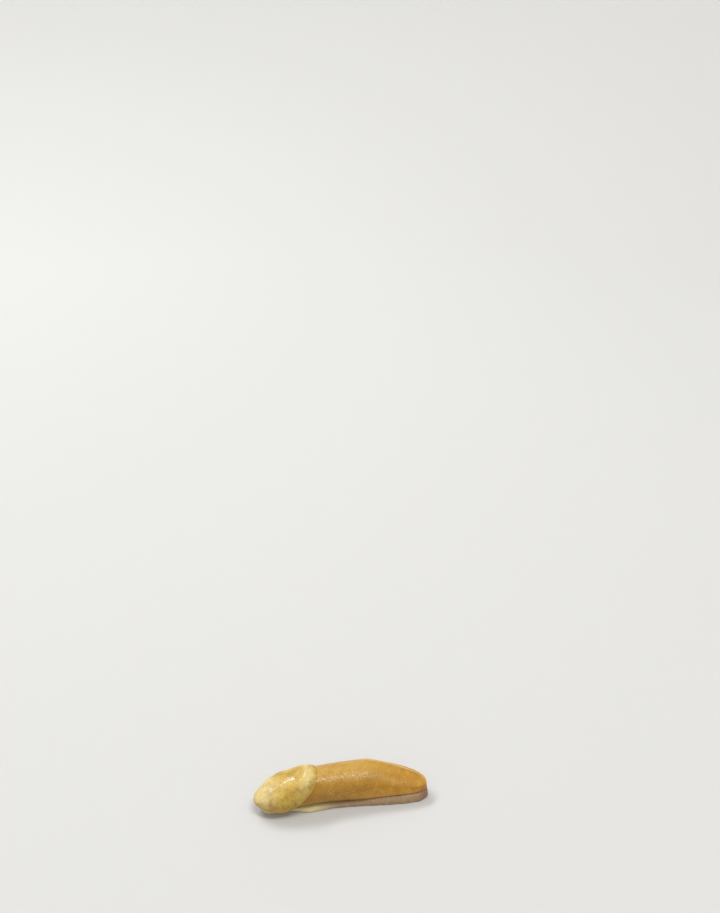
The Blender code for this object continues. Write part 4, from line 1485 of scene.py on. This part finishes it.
def head_material(mottle):
    """Wrinkled olive skin; its pattern is laid over the object in mm."""
    material, work, shader = flesh_material("head_skin")
    position = work.node("ShaderNodeTexCoord").outputs["Object"]
    mottled = mottled_by(
        work,
        mottle,
        Place=work.vector("MULTIPLY", position, (1.0 / MM, 1.0 / MM, 1.0 / MM)),
        Base=colour(160, 128, 62),
        Pale=colour(192, 162, 92),
        Dark=colour(98, 72, 38),
        Dome=1.0,
    )
    finish_skin(work, shader, mottled["Color"], mottled, bump=0.8, bump_height=0.08 * MM)
    return material


def eye_material():
    """Glossy black, with a faint speckle."""
    material, work, shader = new_material(
        "eye", Roughness=0.3, Specular_IOR_Level=0.3, Coat_Weight=0.3, Coat_Roughness=0.08
    )
    speck = work.noise(work.node("ShaderNodeTexCoord").outputs["Object"], 2.5 / MM)
    work.put(shader["Base Color"], work.blend(speck, colour(10, 8, 7), colour(30, 22, 16)))
    return material


# Camera, floor and light

SENSOR = 36.0
FRAME_HEIGHT = 913.0
FOCAL_PIXELS = 1000.0
FRAME_CENTRE = (360.0, 456.5)
SLUG_IN_FRAME = (341.0, 784.0)
AZIMUTH = math.radians(85.0)
ELEVATION = math.radians(46.0)
DEPTH = 0.57
TARGET = Vector((0.0, 0.0, 0.0095))
FLOOR_RADIUS = 1.1
FLOOR_DROP = 0.02 * MM
WALL_RADIUS = 2.0
WALL_HEIGHT = 1.4
FLOOR_RINGS = 12
BEND_RINGS = 24
RING_POINTS = 96
LIGHT_DISTANCE = 3.0
# Direction, how many degrees wide and high, brightness and tint
PANELS = {
    "overhead_panel": ((0.06, 0.16, 0.98), (14.0, 36.0), 9.3, (1.0, 0.99, 0.97)),
    "far_panel": ((-0.52, -0.41, 0.75), (32.0, 10.0), 17.0, (0.94, 0.97, 1.0)),
}


def facing(thing, direction):
    """Turns a camera or a light to look against direction."""
    thing.rotation_mode = "QUATERNION"
    thing.rotation_quaternion = direction.to_track_quat("Z", "Y")


def add_camera():
    """The photograph's view: the animal low in the frame, seen from its left and above."""
    down = (SLUG_IN_FRAME[1] - FRAME_CENTRE[1]) / FOCAL_PIXELS
    left = (SLUG_IN_FRAME[0] - FRAME_CENTRE[0]) / FOCAL_PIXELS
    pitch = ELEVATION - math.atan(down)
    level = math.cos(pitch)
    forward = Vector((-level * math.sin(AZIMUTH), level * math.cos(AZIMUTH), -math.sin(pitch)))
    right = Vector((math.cos(AZIMUTH), math.sin(AZIMUTH), 0.0))
    up = right.cross(forward)
    data = bpy.data.cameras.new("camera")
    data.sensor_width = SENSOR
    data.lens = FOCAL_PIXELS / FRAME_HEIGHT * SENSOR
    data.clip_start = 0.01
    data.clip_end = 100.0
    camera = linked("camera", data)
    camera.location = TARGET - DEPTH * forward - left * DEPTH * right + down * DEPTH * up
    facing(camera, -forward)
    bpy.context.scene.camera = camera


def add_floor():
    """A pale floor that curves up into a pale wall behind."""
    turn = np.linspace(0.0, 0.5 * np.pi, BEND_RINGS)[1:]
    bend = WALL_RADIUS - FLOOR_RADIUS
    flat = np.linspace(0.0, FLOOR_RADIUS, FLOOR_RINGS)
    radius = np.concatenate((flat, FLOOR_RADIUS + bend * np.sin(turn), [WALL_RADIUS]))[:, None]
    lift = np.concatenate((np.zeros(FLOOR_RINGS), bend * (1.0 - np.cos(turn)), [WALL_HEIGHT]))[:, None]
    angle = 2.0 * np.pi * np.arange(RING_POINTS) / RING_POINTS
    height = np.broadcast_to(lift - FLOOR_DROP, (len(radius), RING_POINTS))
    points = np.stack((radius * np.cos(angle), radius * np.sin(angle), height), axis=-1)
    mesh = bpy.data.meshes.new("floor")
    mesh.from_pydata(points.reshape(-1, 3).tolist(), [], grid_faces(len(radius), RING_POINTS))
    mesh.shade_smooth()
    material, _, _ = new_material("floor", Base_Color=(0.60, 0.59, 0.57, 1.0), Roughness=0.9)
    mesh.materials.append(material)
    floor = linked("floor", mesh)


def add_light(name, direction, spread, brightness, tint):
    """A soft panel LIGHT_DISTANCE away, as many degrees wide and high as spread says."""
    width, height = (2.0 * LIGHT_DISTANCE * math.tan(math.radians(part) / 2.0) for part in spread)
    data = bpy.data.lights.new(name, "AREA")
    data.shape = "RECTANGLE"
    data.size, data.size_y = width, height
    data.energy = brightness * math.pi * width * height
    data.color = tint
    light = linked(name, data)
    light.location = Vector(direction).normalized() * LIGHT_DISTANCE
    facing(light, Vector(direction))


def add_lights():
    for name, panel in PANELS.items():
        add_light(name, *panel)
    world = bpy.data.worlds.new("studio")
    world.use_nodes = True
    background = world.node_tree.nodes["Background"].inputs
    background["Color"].default_value = (0.95, 0.97, 1.0, 1.0)
    background["Strength"].default_value = 0.5
    bpy.context.scene.world = world


# Relief of each skin: widths in mm of its chart, heights in metres
TRUNK_RELIEF = {
    "Width": 0.85,
    "Length": 1.7,
    "Height": 0.13 * MM,
    "Warp": 1.3,
    "Grain": 0.25,
    "Swell": 0.5 * MM,
    "Fringe": 0.08 * MM,
}
MANTLE_RELIEF = {
    "Width": 0.8,
    "Length": 0.8,
    "Height": 0.065 * MM,
    "Warp": 1.0,
    "Grain": 0.2,
    "Swell": 0.4 * MM,
    "Fringe": 0.0,
}
TRUNK_NODES = ("shoulders", "back_front", "back_rear", "tail", "foot_front", "foot_middle", "foot_rear")
HEAD_NODES = (
    "head",
    "tentacle_upper_left",
    "tentacle_upper_right",
    "tentacle_lower_left",
    "tentacle_lower_right",
)


def dress():
    """Each skin, its material slot, and the solids that it replaces."""
    mottle = mottle_group()
    flat_relief = relief_tree("tubercles", "2D")
    solid_relief = relief_tree("granules", "3D")
    trunk_skin = raise_skin(trunk(), flat_relief, trunk_material(mottle), **TRUNK_RELIEF)
    mantle_skin = raise_skin(mantle(), solid_relief, mantle_material(mottle), **MANTLE_RELIEF)
    head_skin = dressed(head(), head_material(mottle))
    black = eye_material()
    eye_left, eye_right = (dressed(eye, black) for eye in eyes())
    for piece, slot, nodes in (
        (trunk_skin, "back_skin", TRUNK_NODES),
        (mantle_skin, "mantle_skin", ("mantle",)),
        (head_skin, "head_skin", HEAD_NODES),
        (eye_left, "eye", ("eye_left",)),
        (eye_right, "eye", ("eye_right",)),
    ):
        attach(piece, "root")
        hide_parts(*nodes)


dress()
add_camera()
add_floor()
add_lights()
bpy.context.scene.view_settings.view_transform = "Standard"
